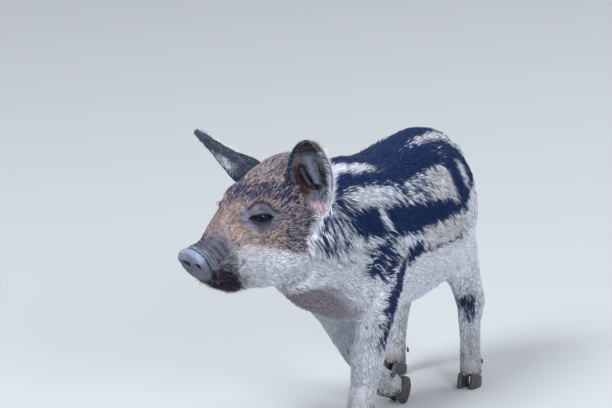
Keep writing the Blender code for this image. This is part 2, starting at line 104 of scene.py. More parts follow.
# The tail: x, y, z, radius.
TAIL = np.array((
    (0, 120, 202, 8), (0, 133, 198, 6.6), (2, 142, 186, 5.4), (4, 146, 168, 4.4), (4, 146, 150, 3.6),
    (1, 145, 132, 3), (-1, 146, 116, 2)), float)

# ---- the skin, mm ----
INFLATE = 0.45                # closes the thin gaps between the pieces
BODY_GRAIN = 0.0015           # voxels while the facets are smoothed away, metres
SKIN_GRAIN = 0.00078          # voxels of the finished skin, metres
FACET_ROUNDS = 45
SKIN_TRIANGLES = 186000
VOXEL_ROUNDS = 5              # rounds that smooth the finer voxels away
MERGE_GAP = 0.00002           # metres
LID_CLEARANCE = 1.06          # the lids' inside against the ball's radius
OPENING_DEPTH = 2.4           # how far the skin sinks behind the ball between the lids

# ---- the coat ----
STRAY_SHARE = 0.05            # tufts that stand up from the rest
LEADER_SHARE = 0.085          # tufts that a lock gathers to
ROOT_DEPTH = 0.25             # how far a tuft's root starts under the skin, mm
TUFT_THICKNESS = 0.42         # share of its width
PATCH = 0.003                 # width of a tuft's patch on the bake map
SPINE_EDGE, FLANK_EDGE = 32, 100         # where the coat's pieces part, degrees from the spine
NECK_END, MUZZLE_START, SHIN_TOP, TAIL_MIDDLE = -100, -80, 58, 140
LASHES = 30
LASH_LENGTH, LASH_WIDTH = 2.3, 0.2

# ---- eyes and feet, mm ----
CORNEA_RISE = 0.045           # share of the ball's radius
PUPIL_SIZE = (2.6, 1.9)       # half length and half height
CLAW_GRAIN = 0.00055          # voxels, metres
CLAW_ROUNDS, CLAW_WEAR_ROUNDS = 14, 3
CLAW_INSET = 0.12
RING_STEP, RING_DEPTH = 1.7, 0.09

# ---- the studio ----
CAMERA_TARGET = np.array((-76.6, 0.0, 170.0))
LIT_PLACE = (0, 0, 0.12)
LIGHTS = (                    # name, place, size and power
    ("key", (-0.6, -2.4, 2.7), 1.5, 130),
    ("fill", (2.4, -1.8, 1.4), 0.9, 50),
    ("back", (0.6, 2.2, 2.6), 1.8, 45))
LIGHT_COLOUR = (0.95, 0.975, 1.0)
SKY_COLOUR = (0.86, 0.92, 1.0, 1)
SKY_STRENGTH = 0.55
FLOOR_RADIUS = 14

# ---- pieces of the frame ----
FLESH = ["trunk", "neck", "head", "snout"] + [
    f"{limb}_{side}_{part}" for limb in ("foreleg", "hindleg") for side in ("left", "right")
    for part in ("upper", "lower")]
LEGS = [f"{limb}_{side}" for limb in ("foreleg", "hindleg") for side in ("left", "right")]


# ---- numbers ----

def turn(axis, degrees):
    """A rotation about an axis, as rows of numbers."""
    return np.array(Matrix.Rotation(math.radians(degrees), 3, axis))


def unit(vectors):
    """Rows of length 1."""
    return vectors / np.maximum(np.linalg.norm(vectors, axis=-1, keepdims=True), 1e-9)


def dots(a, b):
    """The dot product of each row with its fellow."""
    return np.sum(a * b, axis=-1)


def ramp(start, end, value):
    """0 before start, 1 after end, smooth between. Start may be the greater."""
    t = np.clip((value - start) / (end - start), 0, 1)
    return t * t * (3 - 2 * t)


def toward(value, other, share):
    """A value moved to another by a share."""
    return value + (other - value) * share


def mixed(a, b, share):
    """Rows moved to others, each by its own share."""
    return a + (b - a) * np.asarray(share)[..., None]


def between(value, low, high, soft):
    """1 where the value lies from low to high, fading to 0 over a soft edge."""
    return ramp(-soft, soft, value - low) * ramp(-soft, soft, high - value)


def hump(value, centre, width):
    """1 at the centre, falling away to both sides."""
    return np.exp(-((value - centre) / width) ** 2)


def through(table, at):
    """A value read from rows of (place, value)."""
    rows = np.array(sorted(table), float)
    return np.interp(at, rows[:, 0], rows[:, 1])


def mirrored(places):
    """Places of the right side taken to the left."""
    return places * np.where(places[:, :1] < 0, (-1, 1, 1), (1, 1, 1))


def curve_through(rows, steps):
    """Rows joined by a smooth curve through each of them."""
    rows = np.asarray(rows, float)
    padded = np.vstack((rows[:1], rows, rows[-1:]))
    out = []
    for a, b, c, d in zip(padded, padded[1:], padded[2:], padded[3:]):
        for t in np.arange(steps) / steps:
            out.append(0.5 * (2 * b + (c - a) * t + (2 * a - 5 * b + 4 * c - d) * t * t
                              + (3 * b - a - 3 * c + d) * t ** 3))
    out.append(rows[-1])
    return np.array(out)


def lattice(cells):
    """A fixed random number from 0 to 1 for each whole-numbered cell."""
    x, y, z = (cells[:, i].astype(np.uint32) for i in range(3))
    n = x * np.uint32(374761393) + y * np.uint32(668265263) + z * np.uint32(2246822519)
    n = (n ^ (n >> np.uint32(13))) * np.uint32(1274126177)
    n = (n ^ (n >> np.uint32(16))) * np.uint32(3266489917)
    return (n >> np.uint32(8)) / float(1 << 24)


def grain(points, size, seed=0):
    """Smooth noise from -1 to 1, its blotches about this many mm across."""
    place = points / np.asarray(size, float) + 1000.0 + seed * 31.7
    cell = np.floor(place).astype(np.int64)
    t = place - cell
    t = t * t * (3 - 2 * t)
    total = np.zeros(len(points))
    for dx in (0, 1):
        for dy in (0, 1):
            for dz in (0, 1):
                weight = np.prod(np.where((dx, dy, dz), t, 1 - t), axis=1)
                total += weight * lattice(cell + (dx, dy, dz))
    return total * 2 - 1


def streaks(points, drop, long, thin, seed=0):
    """Noise drawn out along hair that falls back by this many degrees."""
    c, s = math.cos(math.radians(drop)), math.sin(math.radians(drop))
    along = points[:, 1] * c - points[:, 2] * s
    across = points[:, 1] * s + points[:, 2] * c
    return grain(np.stack((points[:, 0] * 0.5, along, across), axis=1), (thin * 2, long, thin), seed)


def from_line(points, line):
    """Distance of each point from a line through these places, and the share run along it."""
    line = np.asarray(line, float)
    lengths = np.linalg.norm(np.diff(line, axis=0), axis=1)
    whole = lengths.sum()
    best = np.full(len(points), 1e9)
    share = np.zeros(len(points))
    done = 0.0
    for start, end, length in zip(line, line[1:], lengths):
        way = (end - start) / length
        t = np.clip((points - start) @ way, 0, length)
        gap = np.linalg.norm(points - start - t[:, None] * way, axis=1)
        nearer = gap < best
        best = np.where(nearer, gap, best)
        share = np.where(nearer, (done + t) / whole, share)
        done += length
    return best, share


def inside_outline(u, v, outline):
    """How far inside a closed outline each place is, negative outside."""
    outline = np.asarray(outline, float)
    place = np.stack((u, v), axis=1)
    gap = np.full(len(u), 1e9)
    inside = np.zeros(len(u), bool)
    for (ax, ay), (bx, by) in zip(outline, np.roll(outline, -1, axis=0)):
        way = np.array((bx - ax, by - ay))
        t = np.clip((place - (ax, ay)) @ way / (way @ way), 0, 1)
        gap = np.minimum(gap, np.linalg.norm(place - (ax, ay) - t[:, None] * way, axis=1))
        if ay != by:
            inside ^= ((ay > v) != (by > v)) & (u < (bx - ax) * (v - ay) / (by - ay) + ax)
    return np.where(inside, gap, -gap)


# ---- frames ----

HEAD_TURN = turn("Z", HEAD_YAW) @ turn("X", HEAD_PITCH)
DISC_TURN = HEAD_TURN @ turn("X", DISC_LEAN)
DISC_PLACE = POLL + HEAD_TURN @ DISC_CENTRE


def body_origin():
    """Where the body's frame starts in the model's, mm: the left eye's ball is in both."""
    low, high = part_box("eye_left")
    return np.array((low + high) / 2) / MM - (POLL + HEAD_TURN @ EYE_CENTRE)


ORIGIN = body_origin()


def to_body(points):
    """Places in the model, metres, as places in the body's frame, mm."""
    return points / MM - ORIGIN


def to_model(points):
    return (points + ORIGIN) * MM


def to_head(points):
    return (points - POLL) @ HEAD_TURN


def from_head(points):
    return POLL + np.asarray(points, float) @ HEAD_TURN.T


def to_disc(points):
    """Places in the frame of the snout's disc: across, back from its face, and up."""
    return (points - DISC_PLACE) @ DISC_TURN


def to_eye(points, side):
    """Places in the eye's frame: out, towards the rear corner, and up."""
    centre, axes = eye_frame(side)
    return (points - centre) @ axes


def past_neck(points):
    """How far behind the cut between head and neck each place is, mm."""
    return (points - NECK_CUT) @ NECK_CUT_WAY


def eye_frame(side):
    """The eye's centre, and its axes: out of the socket, towards the rear corner, and up."""
    flip = np.array((side, 1, 1))
    out = unit(EYE_OUTWARD * flip)
    along = unit(np.cross((0, 0, 1), out))
    up = np.cross(out, along)
    slant = math.radians(LID_SLANT * side)
    along, up = (along * math.cos(slant) + up * math.sin(slant),
                 up * math.cos(slant) - along * math.sin(slant))
    axes = np.stack((out, along * side, up), axis=1)
    return from_head(EYE_CENTRE * flip), HEAD_TURN @ axes


def lid_edges(along):
    """Heights of the upper and lower lid along the eye, and how far past its corners."""
    t = np.clip(along / LID_HALF_LENGTH, -1, 1)
    arch = np.clip(1 - t * t, 0, 1)
    upper = UPPER_LID_RISE * arch ** 0.72 * (1 + 0.1 * t) - 0.25 * t
    lower = -LOWER_LID_DROP * arch ** 0.85 * (1 - 0.12 * t) - 0.25 * t
    return upper, lower, np.maximum(np.abs(along) - LID_HALF_LENGTH, 0)


def brow_crease(local):
    """How far over the upper lid the crease under the brow lies."""
    return 8.6 - 0.022 * (local[:, 1] + 1) ** 2


def past_lid(local):
    """Distance outside the eye's opening, negative in it, with the signed height used for creases."""
    upper, lower, beyond = lid_edges(local[:, 1])
    above, below = local[:, 2] - upper, lower - local[:, 2]
    gap = np.maximum(above, below)
    return np.where(beyond > 0, np.hypot(beyond, local[:, 2]), gap), np.where(above > below, gap, -gap)


def ear_rows(side):
    """The ear's cross-sections: centre, across, out of the cup, along, radius, half angle of the cup in
    radians, and share of the length."""
    root, tip, facing, length, fold = EARS[side]
    along = unit(HEAD_TURN @ np.array(tip, float))
    face = HEAD_TURN @ np.array(facing, float)
    face = unit(face - along * (face @ along))
    across = np.cross(along, face)
    place = from_head(root)
    rows, done = [], 0.0
    for share, width, half_angle in curve_through(EAR_ROWS[side], 7):
        lean = math.radians(fold) * share * share
        way = along * math.cos(lean) + face * math.sin(lean)
        out = face * math.cos(lean) - along * math.sin(lean)
        place = place + way * (share - done) * length
        done = share
        cup = math.radians(half_angle)
        radius = width / 2 / math.sin(min(cup, math.pi / 2))
        rows.append((place, across, out, way, radius, cup, share))
    return rows


def ear_point(row, angle, inward):
    """A point of the ear's wall at an angle round the cup, and the way out of its back."""
    place, across, out, _, radius, cup, _ = row
    back = across * math.sin(angle) - out * math.cos(angle)
    return place + out * radius * math.cos(cup) + back * (radius - inward), back


def ear_middle(side):
    """The middle of the ear's wall as a grid: places, ways out of the back, along, share, and edge."""
    places, backs, ways, shares, edges = [], [], [], [], []
    for row in ear_rows(side):
        for edge in np.linspace(-1, 1, 41):
            wall = min(EAR_THICKNESS, row[4] * 0.8)
            point, back = ear_point(row, row[5] * edge, wall / 2)
            places.append(point)
            backs.append(back)
            ways.append(row[3])
            shares.append(row[6])
            edges.append(edge * side)
    return tuple(np.array(a) for a in (places, backs, ways, shares, edges))


EAR_MIDDLES = {side: ear_middle(side) for side in EARS}


def nearest(points, targets):
    """The nearest target to each point, and the distance."""
    tree = kdtree.KDTree(len(targets))
    for i, target in enumerate(targets):
        tree.insert(target, i)
    tree.balance()
    found = [tree.find(p)[1:] for p in points.tolist()]
    return np.array([f[0] for f in found], int), np.array([f[1] for f in found])


def ear_places(points):
    """For each point: which side's ear it is on or 0, then its share of the ear's length, its edge from -1 in
    front to 1 behind, the way along, the way out of the back, and how far it is towards that back, mm."""
    which = np.zeros(len(points), int)
    share, edge, facing = (np.zeros(len(points)) for _ in range(3))
    along, back = np.zeros((len(points), 3)), np.zeros((len(points), 3))
    for side, (places, backs, ways, shares, edges) in EAR_MIDDLES.items():
        index = np.flatnonzero(np.all((points > places.min(0) - 4) & (points < places.max(0) + 4), axis=1))
        if not len(index):
            continue
        found, gap = nearest(points[index], places)
        offset = points[index] - places[found]
        inner, close = dots(offset, backs[found]) < 0.3, gap < EAR_THICKNESS + 0.1
        lining = (gap < 12) & inner & (np.abs(edges[found]) < 0.93) & (dots(offset, ways[found]) > -2.5)
        on = (close & (shares[found] > 0.12)) | lining | (close & inner & (edges[found] > -0.3))
        index, found = index[on], found[on]
        which[index] = side
        share[index] = shares[found]
        edge[index] = edges[found]
        along[index] = ways[found]
        back[index] = backs[found]
        facing[index] = dots(points[index] - places[found], backs[found])
    return which, share, edge, along, back, facing


def around_trunk(points):
    """Angle round the trunk from the spine in degrees, the left side positive."""
    return np.degrees(np.arctan2(points[:, 0], points[:, 2] - TRUNK_AXIS_HEIGHT))


# ---- colours ----

def linear(hex_colour):
    """An sRGB hex colour as linear numbers."""
    parts = [int(hex_colour[i:i + 2], 16) / 255 for i in (1, 3, 5)]
    return tuple(p / 12.92 if p <= 0.04045 else ((p + 0.055) / 1.055) ** 2.4 for p in parts)


# ---- markings, read by the skin and the coat alike ----

# Each light stripe of the left side: its upper and lower edge as (y, angle from the spine).
STRIPE_ONE_TOP = (
    (-140, 2), (-118, 4), (-105, 10), (-77, 14), (-54, 17), (0, 15), (24, 12), (50, 12), (75, 11),
    (110, 12))
STRIPE_ONE_FOOT = (
    (-140, 9), (-128, 11), (-116, 15), (-99, 18), (-61, 22), (11, 17), (34, 19), (65, 21), (90, 26),
    (120, 34))
STRIPE_ONE_STRENGTH = (
    (-150, 0), (-136, 1), (-97, 1), (-80, 0.5), (-62, 0.2), (-10, 0.12), (8, 0.45), (30, 0.75), (60, 0.8),
    (80, 0.7), (105, 0.45), (125, 0.2))
STRIPE_TWO_TOP = (
    (-138, 20), (-121, 24), (-106, 26.5), (-79, 29), (-41, 33), (-7, 37), (16, 36), (33, 35), (44, 40),
    (60, 44))
STRIPE_TWO_FOOT = (
    (-138, 29), (-121, 37), (-95, 43.5), (-71, 48), (-50, 54), (-23, 58), (-3, 63), (21, 66), (40, 74),
    (60, 78))
STRIPE_TWO_STRENGTH = (
    (-142, 0.35), (-130, 0.92), (-92, 0.98), (-72, 0.86), (-20, 0.55), (-4, 0.7), (12, 0.84), (38, 0.84),
    (47, 0.25), (54, 0))
STRIPE_THREE_FOOT = (
    (-160, 34), (-153, 38), (-145, 50), (-127, 60), (-103, 71), (-78, 80), (-49, 83), (-24, 82), (15, 85),
    (43, 84), (70, 79), (83, 68), (96, 58), (120, 52), (136, 48))
FLANK_FOOT = (
    (-125, 128), (-95, 126), (-80, 120), (-66, 111), (-52, 108), (-27, 111), (2, 114), (31, 115), (60, 117),
    (90, 118))
ELBOW_STRIPE = (
    (0, -38, 153), (0, -50, 151), (0, -60, 148), (0, -68, 142), (0, -74.5, 135), (0, -81.5, 127),
    (0, -86.5, 116), (0, -88, 107), (0, -88, 93), (0, -88, 82), (0, -88, 66))

THROAT_TOP = ((-190, 158), (-172, 152), (-158, 143), (-124, 122), (-100, 108))
HOCK_DARK_PATCH = (36, 84, 74)

# The head's markings in its own frame, mm.
BROW_BACK = ((0, -64), (4, -62), (12, -56), (19, -48), (26, -43), (31, -40), (40, -36))
BROW_FRONT = ((0, -84), (2, -82), (9, -78), (15.5, -73), (22, -66), (26, -59), (31, -54), (40, -50))
CHEEK_PATCH = (
    (-40, 14), (-50, 8), (-58, -1), (-63, -9), (-57, -15), (-50, -14), (-42, -8), (-34, -2), (-34, 12))
JAW_WHITE_TOP = (
    (-112, -6), (-104, -2), (-97, 1), (-88, -1), (-79, -5), (-69, -9), (-62.5, -13), (-51, -18), (-43, -15),
    (-36, -9), (-26, -6), (-10, -4))
BARE_SNOUT = (
    (0, -112), (20, -107), (45, -102), (69, -102), (84, -105), (95, -111), (105, -118), (115, -122),
    (129, -124), (180, -125.5))
FACE_BACK = (
    (-60, -28), (-26, -30), (-17, -44), (-9.5, -46), (-2, -39), (6, -30), (20, -26), (30, -12), (45, 0))
DARK_CHIN = (
    (-128, -10), (-123, -10), (-115, -11), (-109, -15), (-103, -22), (-97, -31), (-99, -44), (-116, -44),
    (-132, -30))
MOUTH_CORNER = (22, -95, -12.5)
MOUTH = (
    (22.5, -93, -12.5), (20.5, -99, -16), (18, -106, -19.5), (14.5, -114.5, -21.5), (11, -122, -21),
    (0, -126, -21))


def stripes(points, side, y, y_near, ragged):
    """The upper two pale stripes, and the flecks in the dark between them."""
    edge = side + ragged * 0.9
    soft = 2.4 + 1.6 * ramp(0, 60, np.abs(y - 20))
    one = between(edge, through(STRIPE_ONE_TOP, y_near), through(STRIPE_ONE_FOOT, y_near), soft * 0.8)
    one *= through(STRIPE_ONE_STRENGTH, y_near)
    two = between(edge, through(STRIPE_TWO_TOP, y_near), through(STRIPE_TWO_FOOT, y_near), soft)
    two *= through(STRIPE_TWO_STRENGTH, y_near - 0.12 * (side - 50) * ramp(0, 30, y))
    ticks = ramp(-0.2, 0.5, streaks(points, 38, 11, 1.5, 7))
    two = two * (1 - 0.8 * ticks * (0.2 + 0.95 * hump(y, -50, 30)))
    return one, two, 0.28 * hump(side, 27, 6) * hump(y, 42, 22) * ticks


def flank(points, side, y, y_near, ragged):
    """Below the third dark stripe: tan-grey with flecks. The pale share, and where it applies."""
    over = side + ragged * 0.9 - through(STRIPE_THREE_FOOT, y_near)
    share = 0.86 + 0.5 * streaks(points, 35, 9, 2.0, 8) + 0.22 * grain(points, 12, 9)
    share = share - 0.32 * ramp(8, 0, over)
    return share, ramp(-3.0, 4.5, over + 6 * streaks(points, 40, 12, 1.8, 18) * ramp(-70, -100, y))


def ticked_neck(points, side, y):
    """The neck: dark and white hairs mixed, whiter towards the throat."""
    flow = toward(streaks(points, 42, 15, 1.7, 10), streaks(points, 70, 15, 1.7, 11), ramp(-135, -155, y))
    ticked = 0.42 + 0.9 * flow + 0.45 * ramp(60, 92, side)
    return np.clip(ticked, 0.05, 1), ramp(-128, -150, y) * ramp(19, 30, side)


def ticked_shoulder(points, side, y):
    """The shoulder: white with wavy dark ticks that gather towards the elbow."""
    wavy = points + np.array((0, 0, 1.0)) * (1.6 * np.sin(y / 4.2 + 0.05 * side))[:, None]
    waves = streaks(wavy, 24, 10, 1.9, 12)
    slanted = y + 0.3 * (side - 93)
    zone = np.clip(1.6 * hump(slanted, -97, 19) * hump(side, 95, 27), 0, 1)
    share = 0.97 - zone * (0.34 + 0.66 * ramp(-0.35, 0.4, waves))
    share = share - 0.5 * ramp(0.0, 0.6, waves) * ramp(114, 92, side)
    return share - 0.38 * hump(slanted, -101, 10) * hump(side, 99, 18), ramp(-58, -68, y) * ramp(72, 86, side)


def trunk_markings(points, hues):
    """Dark colour, pale colour and pale share for the trunk, neck and thighs."""
    y = points[:, 1]
    angle = around_trunk(points)
    # the right side's stripes wander off from the left's
    right = ramp(-4, -10, angle)
    wander = grain(points, 26, 3) * 3.0 * (0.4 + right) + grain(points, 9, 4) * 1.6
    ragged = grain(points, (5, 2.2, 2.2), 5) * 3.0
    rear = ramp(-60, -20, y)
    side = np.abs(angle + 3.0 * ramp(-70, 0, y)) + wander * 0.5
    shift = (grain(points, 60, 6) * 5.0 + 18 * rear) * right
    side = side + 12 * right * rear
    y_near = y + shift + ragged * 0.6
    stripe_one, stripe_two, flecks = stripes(points, side, y, y_near, ragged)
    share = np.maximum(np.maximum(stripe_one, stripe_two), flecks) + 0.01
    # a pale fleck on the rump, and a light streak slanting through the third dark stripe
    rump = between(side, 36, 62, 5) * hump(y - 0.25 * (side - 46), 76, 9) * 0.85
    streak = hump(y - 0.55 * (side - 60) + 0.3 * ragged, -90, 5.5) * between(side, 45, 72, 4) * 0.85
    share = np.maximum(np.maximum(share, rump), streak)
    # a painted shadow: near-black hair in the crease behind the shoulder, where the skin's fold casts shade
    share *= 1 - 0.9 * hump(y - 0.2 * (side - 60), -78, 5) * between(side, 52, 82, 5)
    for other, weight in (
            flank(points, side, y, y_near, ragged), ticked_neck(points, side, y),
            ticked_shoulder(points, side, y)):
        share = toward(share, other, weight)
    # the belly, and the thin soft line that parts it from the flank
    belly_edge = through(FLANK_FOOT, y)
    share = toward(share, 0.97, ramp(-3, 5, side - belly_edge))
    share *= 1 - 0.55 * hump(side, belly_edge - 1, 2.8) * between(y, -66, 56, 8)
    # the thigh: dark behind the rump, then pale down the leg
    share = toward(share, 0.86, ramp(58, 82, y) * ramp(142, 118, points[:, 2]))
    hem = hump(side, 72 + 0.35 * (y - 82), 5) * ramp(76, 86, y) * ramp(60, 68, side)
    share = np.maximum(share, 0.95 * hem)
    share *= 1 - 0.95 * elbow_stripe(points)
    warm = 0.6 * np.clip(between(y, -40, 60, 20) * ramp(70, 86, side) * ramp(118, 108, side), 0, 1)
    warm = np.maximum(warm, 0.8 * stripe_two * ramp(-15, 5, y))
    warm = np.maximum(warm, 0.7 * stripe_one * ramp(0, 30, y))
    pale = mixed(hues["white"], hues["tan_white"], warm)
    return np.broadcast_to(hues["dark"], points.shape), pale, np.clip(share, 0.02, 0.985)


def elbow_stripe(points):
    """1 on the dark stripe that runs from the shoulder behind the elbow and down the back of the foreleg."""
    gap, run = from_line(points * (0, 1, 1), ELBOW_STRIPE)
    outer = ramp(12, 24, np.abs(points[:, 0])) * (points[:, 1] < -30)
    bars = np.sin(points[:, 2] / 1.6 + 0.25 * points[:, 1] + 3 * grain(points, 9, 22))
    ragged = 2.4 * streaks(points, 50, 8, 1.6, 13) + 2.4 * bars * ramp(0.45, 0.7, run)
    dark = ramp(13.5, 6.0, gap + ragged + 3.5 * ramp(0.5, 0.7, run) + 3 * ramp(0.3, 0.1, run))
    return dark * outer * ramp(1.0, 0.88, run) * (1 - (0.18 - 0.14 * bars) * ramp(0.5, 0.75, run))


def mouth_gap(head):
    """Distance from the mouth's line, for places in the head's frame."""
    return from_line(mirrored(head), MOUTH)[0]


def throat(points):
    """How bare and pink the skin is under the neck."""
    y, z = points[:, 1], points[:, 2]
    ragged = 3 * grain(points, 14, 15) + 5 * streaks(points, 20, 12, 2.2, 19)
    return ramp(7, -11, z - through(THROAT_TOP, y) + ragged) * ramp(-94, -116, y + ragged)


def leg_markings(points, hues):
    """Dark, pale and pale share for the legs below the elbow and stifle."""
    y, z = points[:, 1], points[:, 2]
    share = 0.93 + 0.06 * grain(points, (6, 6, 14), 20)
    front = ramp(60, 50, y)
    share *= 1 - 0.9 * elbow_stripe(points)
    worn = ramp(90, 50, z) * ramp(0.0, 0.6, grain(points, (3, 3, 12), 21)) * ramp(-94, -82, y)
    share *= 1 - 0.3 * front * worn
    # a dark patch on the inner side of each hind leg at the hock
    hock_patch_gap = np.linalg.norm((mirrored(points) - HOCK_DARK_PATCH) * (0.8, 0.8, 0.7), axis=1)
    hock = ramp(13, 4, hock_patch_gap + 4 * streaks(points, 80, 12, 1.6, 23)) * (1 - front)
    share *= 1 - 0.8 * hock
    share *= 1 - 0.35 * ramp(24, 10, z)
    earth = 0.1 + 0.6 * ramp(60, 15, z)
    pale = mixed(hues["white"], hues["dusty"], earth)
    dark = mixed(hues["dark"], hues["brown"], 0.4 * ramp(50, 10, z))
    return dark, pale, np.clip(share, 0.03, 0.98)


def head_markings(points, hues):
    """Dark, pale and pale share for the head."""
    x, y, z = to_head(points).T
    x = np.abs(x)
    patchy = grain(points, 7, 30)
    fine = grain(points, (1.3, 4, 1.3), 31)
    # tan-brown hairs over dark ones, cooler on the brow, the crown and the side of the face
    wide = x + 1.5 * patchy
    brow = between(y + 1.5 * fine, through(BROW_FRONT, wide), through(BROW_BACK, wide), 4) * ramp(16, 24, z)
    crown = ramp(-60, -48, y - (through(BROW_BACK, x) + 60) * 0.5) * ramp(20, 34, z)
    cheek = ramp(-3, 3, inside_outline(y, z, CHEEK_PATCH) + 1.2 * fine) * ramp(24, 30, x)
    side_face = ramp(-66, -52, y) * ramp(24, 32, x)
    under_eye = hump(z, -3, 9) * hump(y, -84, 15) * ramp(14, 22, x)
    share = 0.58 + 0.08 * patchy + 0.16 * fine
    share -= 0.27 * brow
    share += 0.03 * crown * ramp(22, 8, x) - 0.14 * crown * ramp(14, 26, x)
    share -= 0.03 * side_face + 0.1 * cheek
    share += 0.2 * under_eye * (1 + fine)
    warm = (0.8 + 0.3 * patchy) * (1 - 0.7 * brow) * (1 - 0.55 * crown)
    warm = warm * (1 - 0.65 * side_face) * (1 - 0.5 * cheek)
    pale = mixed(hues["grey_tan"], hues["tan"], np.clip(warm, 0, 1))
    dark = mixed(hues["dark"], hues["brown"], 0.75 - 0.16 * np.maximum(brow, crown))
    # the white jaw
    jaw_line = through(JAW_WHITE_TOP, y + 2 * patchy)
    jaw = ramp(2.6, -2.6, z - jaw_line + 1.6 * fine) * ramp(-112, -104, y)
    creamy = ramp(-10, 0, z - jaw_line) * ramp(-50, -64, y)
    share = toward(share, 0.95 + 0.05 * fine, jaw)
    pale = mixed(pale, mixed(hues["white"], hues["cream"], 0.25 + 0.5 * creamy), jaw)
    # the whisker pad and the chin
    pad = ramp(-98, -106, y) * ramp(12, 4, z)
    share = toward(share, 0.5 + 0.3 * fine, pad)
    pale = mixed(pale, hues["grey"], pad * 0.7)
    chin = ramp(-5, 5, inside_outline(y, z, DARK_CHIN) + 3 * fine)
    share *= 1 - 0.9 * chin
    dark = mixed(dark, hues["ear_red"] * 0.5, 0.4 * chin)
    return dark, pale, np.clip(share, 0.03, 0.98)


def bare_snout(points):
    """1 on the bare slate skin of the snout."""
    x, y, z = to_head(points).T
    angle = np.degrees(np.arctan2(np.abs(x), z + 5))
    return ramp(2.0, -2.0, y - through(BARE_SNOUT, angle) + 1.3 * grain(points, 5, 32))


def eye_ring(points):
    """Round the eyes: shares of lavender skin, of the painted shade in its folds, and of the lids' own
    margins.
    """
    ring, fold, margin = np.zeros((3, len(points)))
    for side in (1, -1):
        local = to_eye(points, side)
        gap, level = past_lid(local)
        near = (local[:, 0] > -8) & (np.linalg.norm(local, axis=1) < 26)
        ring = np.maximum(ring, ramp(10.5, 6, gap + 1.5 * grain(points, 4, 53)) * near)
        arch = hump(level, brow_crease(local), 1.5) * ramp(16, 11, np.abs(local[:, 1] - 1))
        bag = hump(level, -6, 2.5) * ramp(9, 5, np.abs(local[:, 1] - 2))
        under = 0.7 * hump(level, -2.6, 0.8) + 0.45 * bag
        over = 0.5 * hump(level, 3.0, 1.2)
        fold = np.maximum(fold, np.clip(arch + under + over, 0, 1) * near)
        margin = np.maximum(margin, ramp(2.2, 1.0, gap) * near)
    return ring, fold, margin


def ear_markings(ear, hues):
    """Dark, pale and pale share of an ear: navy back and front margin, a white fringe on the rear rim."""
    which, along, edge, _, _, facing = ear
    outer = ramp(-0.4, 0.6, facing)
    fringe = ramp(0.78, 0.96, np.abs(edge)) * ramp(0.1, 0.5, edge)
    front = ramp(-0.74, -0.88, edge)
    back = 0.04 + 0.8 * fringe * ramp(0.95, 0.7, along)
    streaky = grain(np.stack((along * 12, edge * 22, 0 * edge), axis=1), (1, 1, 1), 41)
    inner = 0.55 + 0.4 * streaky + 0.45 * fringe - 0.4 * ramp(0.7, 0.85, along)
    inner = inner - 0.5 * between(edge, 0.3, 0.8, 0.1) * between(along, 0.25, 0.5, 0.06)
    patch = (which < 0) * hump(along, 0.53, 0.11) * ramp(-0.4, -0.7, edge)
    share = toward(toward(inner, back, outer) * (1 - 0.9 * front), 0.5, patch)
    share = share + 0.16 * front * (1 + streaky)
    pale = mixed(hues["white"], hues["grey_tan"], 0.7 * (1 - fringe) * (1 - patch))
    # the far ear's navy is darker than the near ear's: painted shade
    deep = hues["dark"] * (0.5 - 0.2 * (which < 0))[:, None]
    dark = mixed(deep, hues["brown"] * 0.8, (1 - outer) * (1 - front))
    return dark, pale, np.clip(share, 0.02, 0.97)


# Lines on the ear's inner wall, each place as mm from the ear's foot and mm rearward of its middle.
EAR_SLIT = ((41, -7), (36, -5.4), (29, -3.0), (22, -0.2), (21, 4))
EAR_RIDGE = ((48, -1.5), (40, 0.8), (31, 2.4), (22, 5), (14, 8))
EAR_TRAGUS = ((42, -9.5), (34, -9), (26, -7), (18, -3.6))
EAR_CREASE = ((46, 6.5), (36, 7.5), (26, 10.5), (18, 11.5), (13, 6))
EAR_LENGTH, EAR_HALF_WIDTH = 76, 19


def on_ear_wall(along, edge, line):
    """Distance on the ear's inner wall from one of its lines, mm."""
    places = np.stack((along * EAR_LENGTH, edge * EAR_HALF_WIDTH, 0 * edge), axis=1)
    return from_line(places, [(a, b, 0) for a, b in line])[0]


def regions(points):
    """Shares of head, ear, leg and tail for places on the body; the rest is trunk and neck."""
    ear = ear_places(points)
    on_ear = (ear[0] != 0).astype(float)
    local = to_head(points)
    head = ramp(4, -4, past_neck(points)) * (1 - on_ear) * ramp(-58, -50, local[:, 2])
    head = head * ramp(3, -3, local[:, 1] - through(FACE_BACK, local[:, 2]) + 2 * grain(points, 7, 16))
    tail_gap, tail_run = from_line(points, curve_through(TAIL[:, :3], 4))
    tail_radius = np.interp(tail_run, np.linspace(0, 1, len(TAIL)), TAIL[:, 3])
    tail = ramp(4.5, 1.5, tail_gap - tail_radius) * ramp(0.12, 0.24, tail_run)
    leg = ramp(101, 86, points[:, 2]) * (1 - head) * (1 - on_ear) * (1 - tail)
    return {"ear": on_ear, "ear_places": ear, "head": head, "tail": tail, "leg": leg, "tail_run": tail_run}


def markings(points, region, hues):
    """Dark colour, pale colour and pale share at each place."""
    dark, pale, share = trunk_markings(points, hues)
    for weight, made in (
            (region["leg"], leg_markings(points, hues)),
            (region["head"], head_markings(points, hues)),
            (region["ear"], ear_markings(region["ear_places"], hues))):
        dark, pale = mixed(dark, made[0], weight), mixed(pale, made[1], weight)
        share = toward(share, made[2], weight)
    tail = region["tail"]
    share = toward(share, 0.3, tail * 0.8)
    local = to_head(points)
    past = local[:, 1] - through(FACE_BACK, local[:, 2])
    band = ramp(-1, 2, past) * ramp(13, 7, past) * ramp(22, 12, local[:, 2])
    band = band * (local[:, 0] * np.sign(points[:, 0] + 20) > 0)
    band = band * (1 - region["ear"]) * ramp(120, 135, points[:, 2])
    share = toward(share, 0.9 + 0.3 * streaks(points, 75, 12, 1.8, 17), band)
    return dark, pale, np.clip(share, 0, 1)


def laid(colour, hues, *layers):
    """A colour under layers, each a hue's name, its share and how bright it is."""
    for name, share, tone in layers:
        colour = mixed(colour, hues[name] * np.reshape(tone, (-1, 1)), share)
    return colour


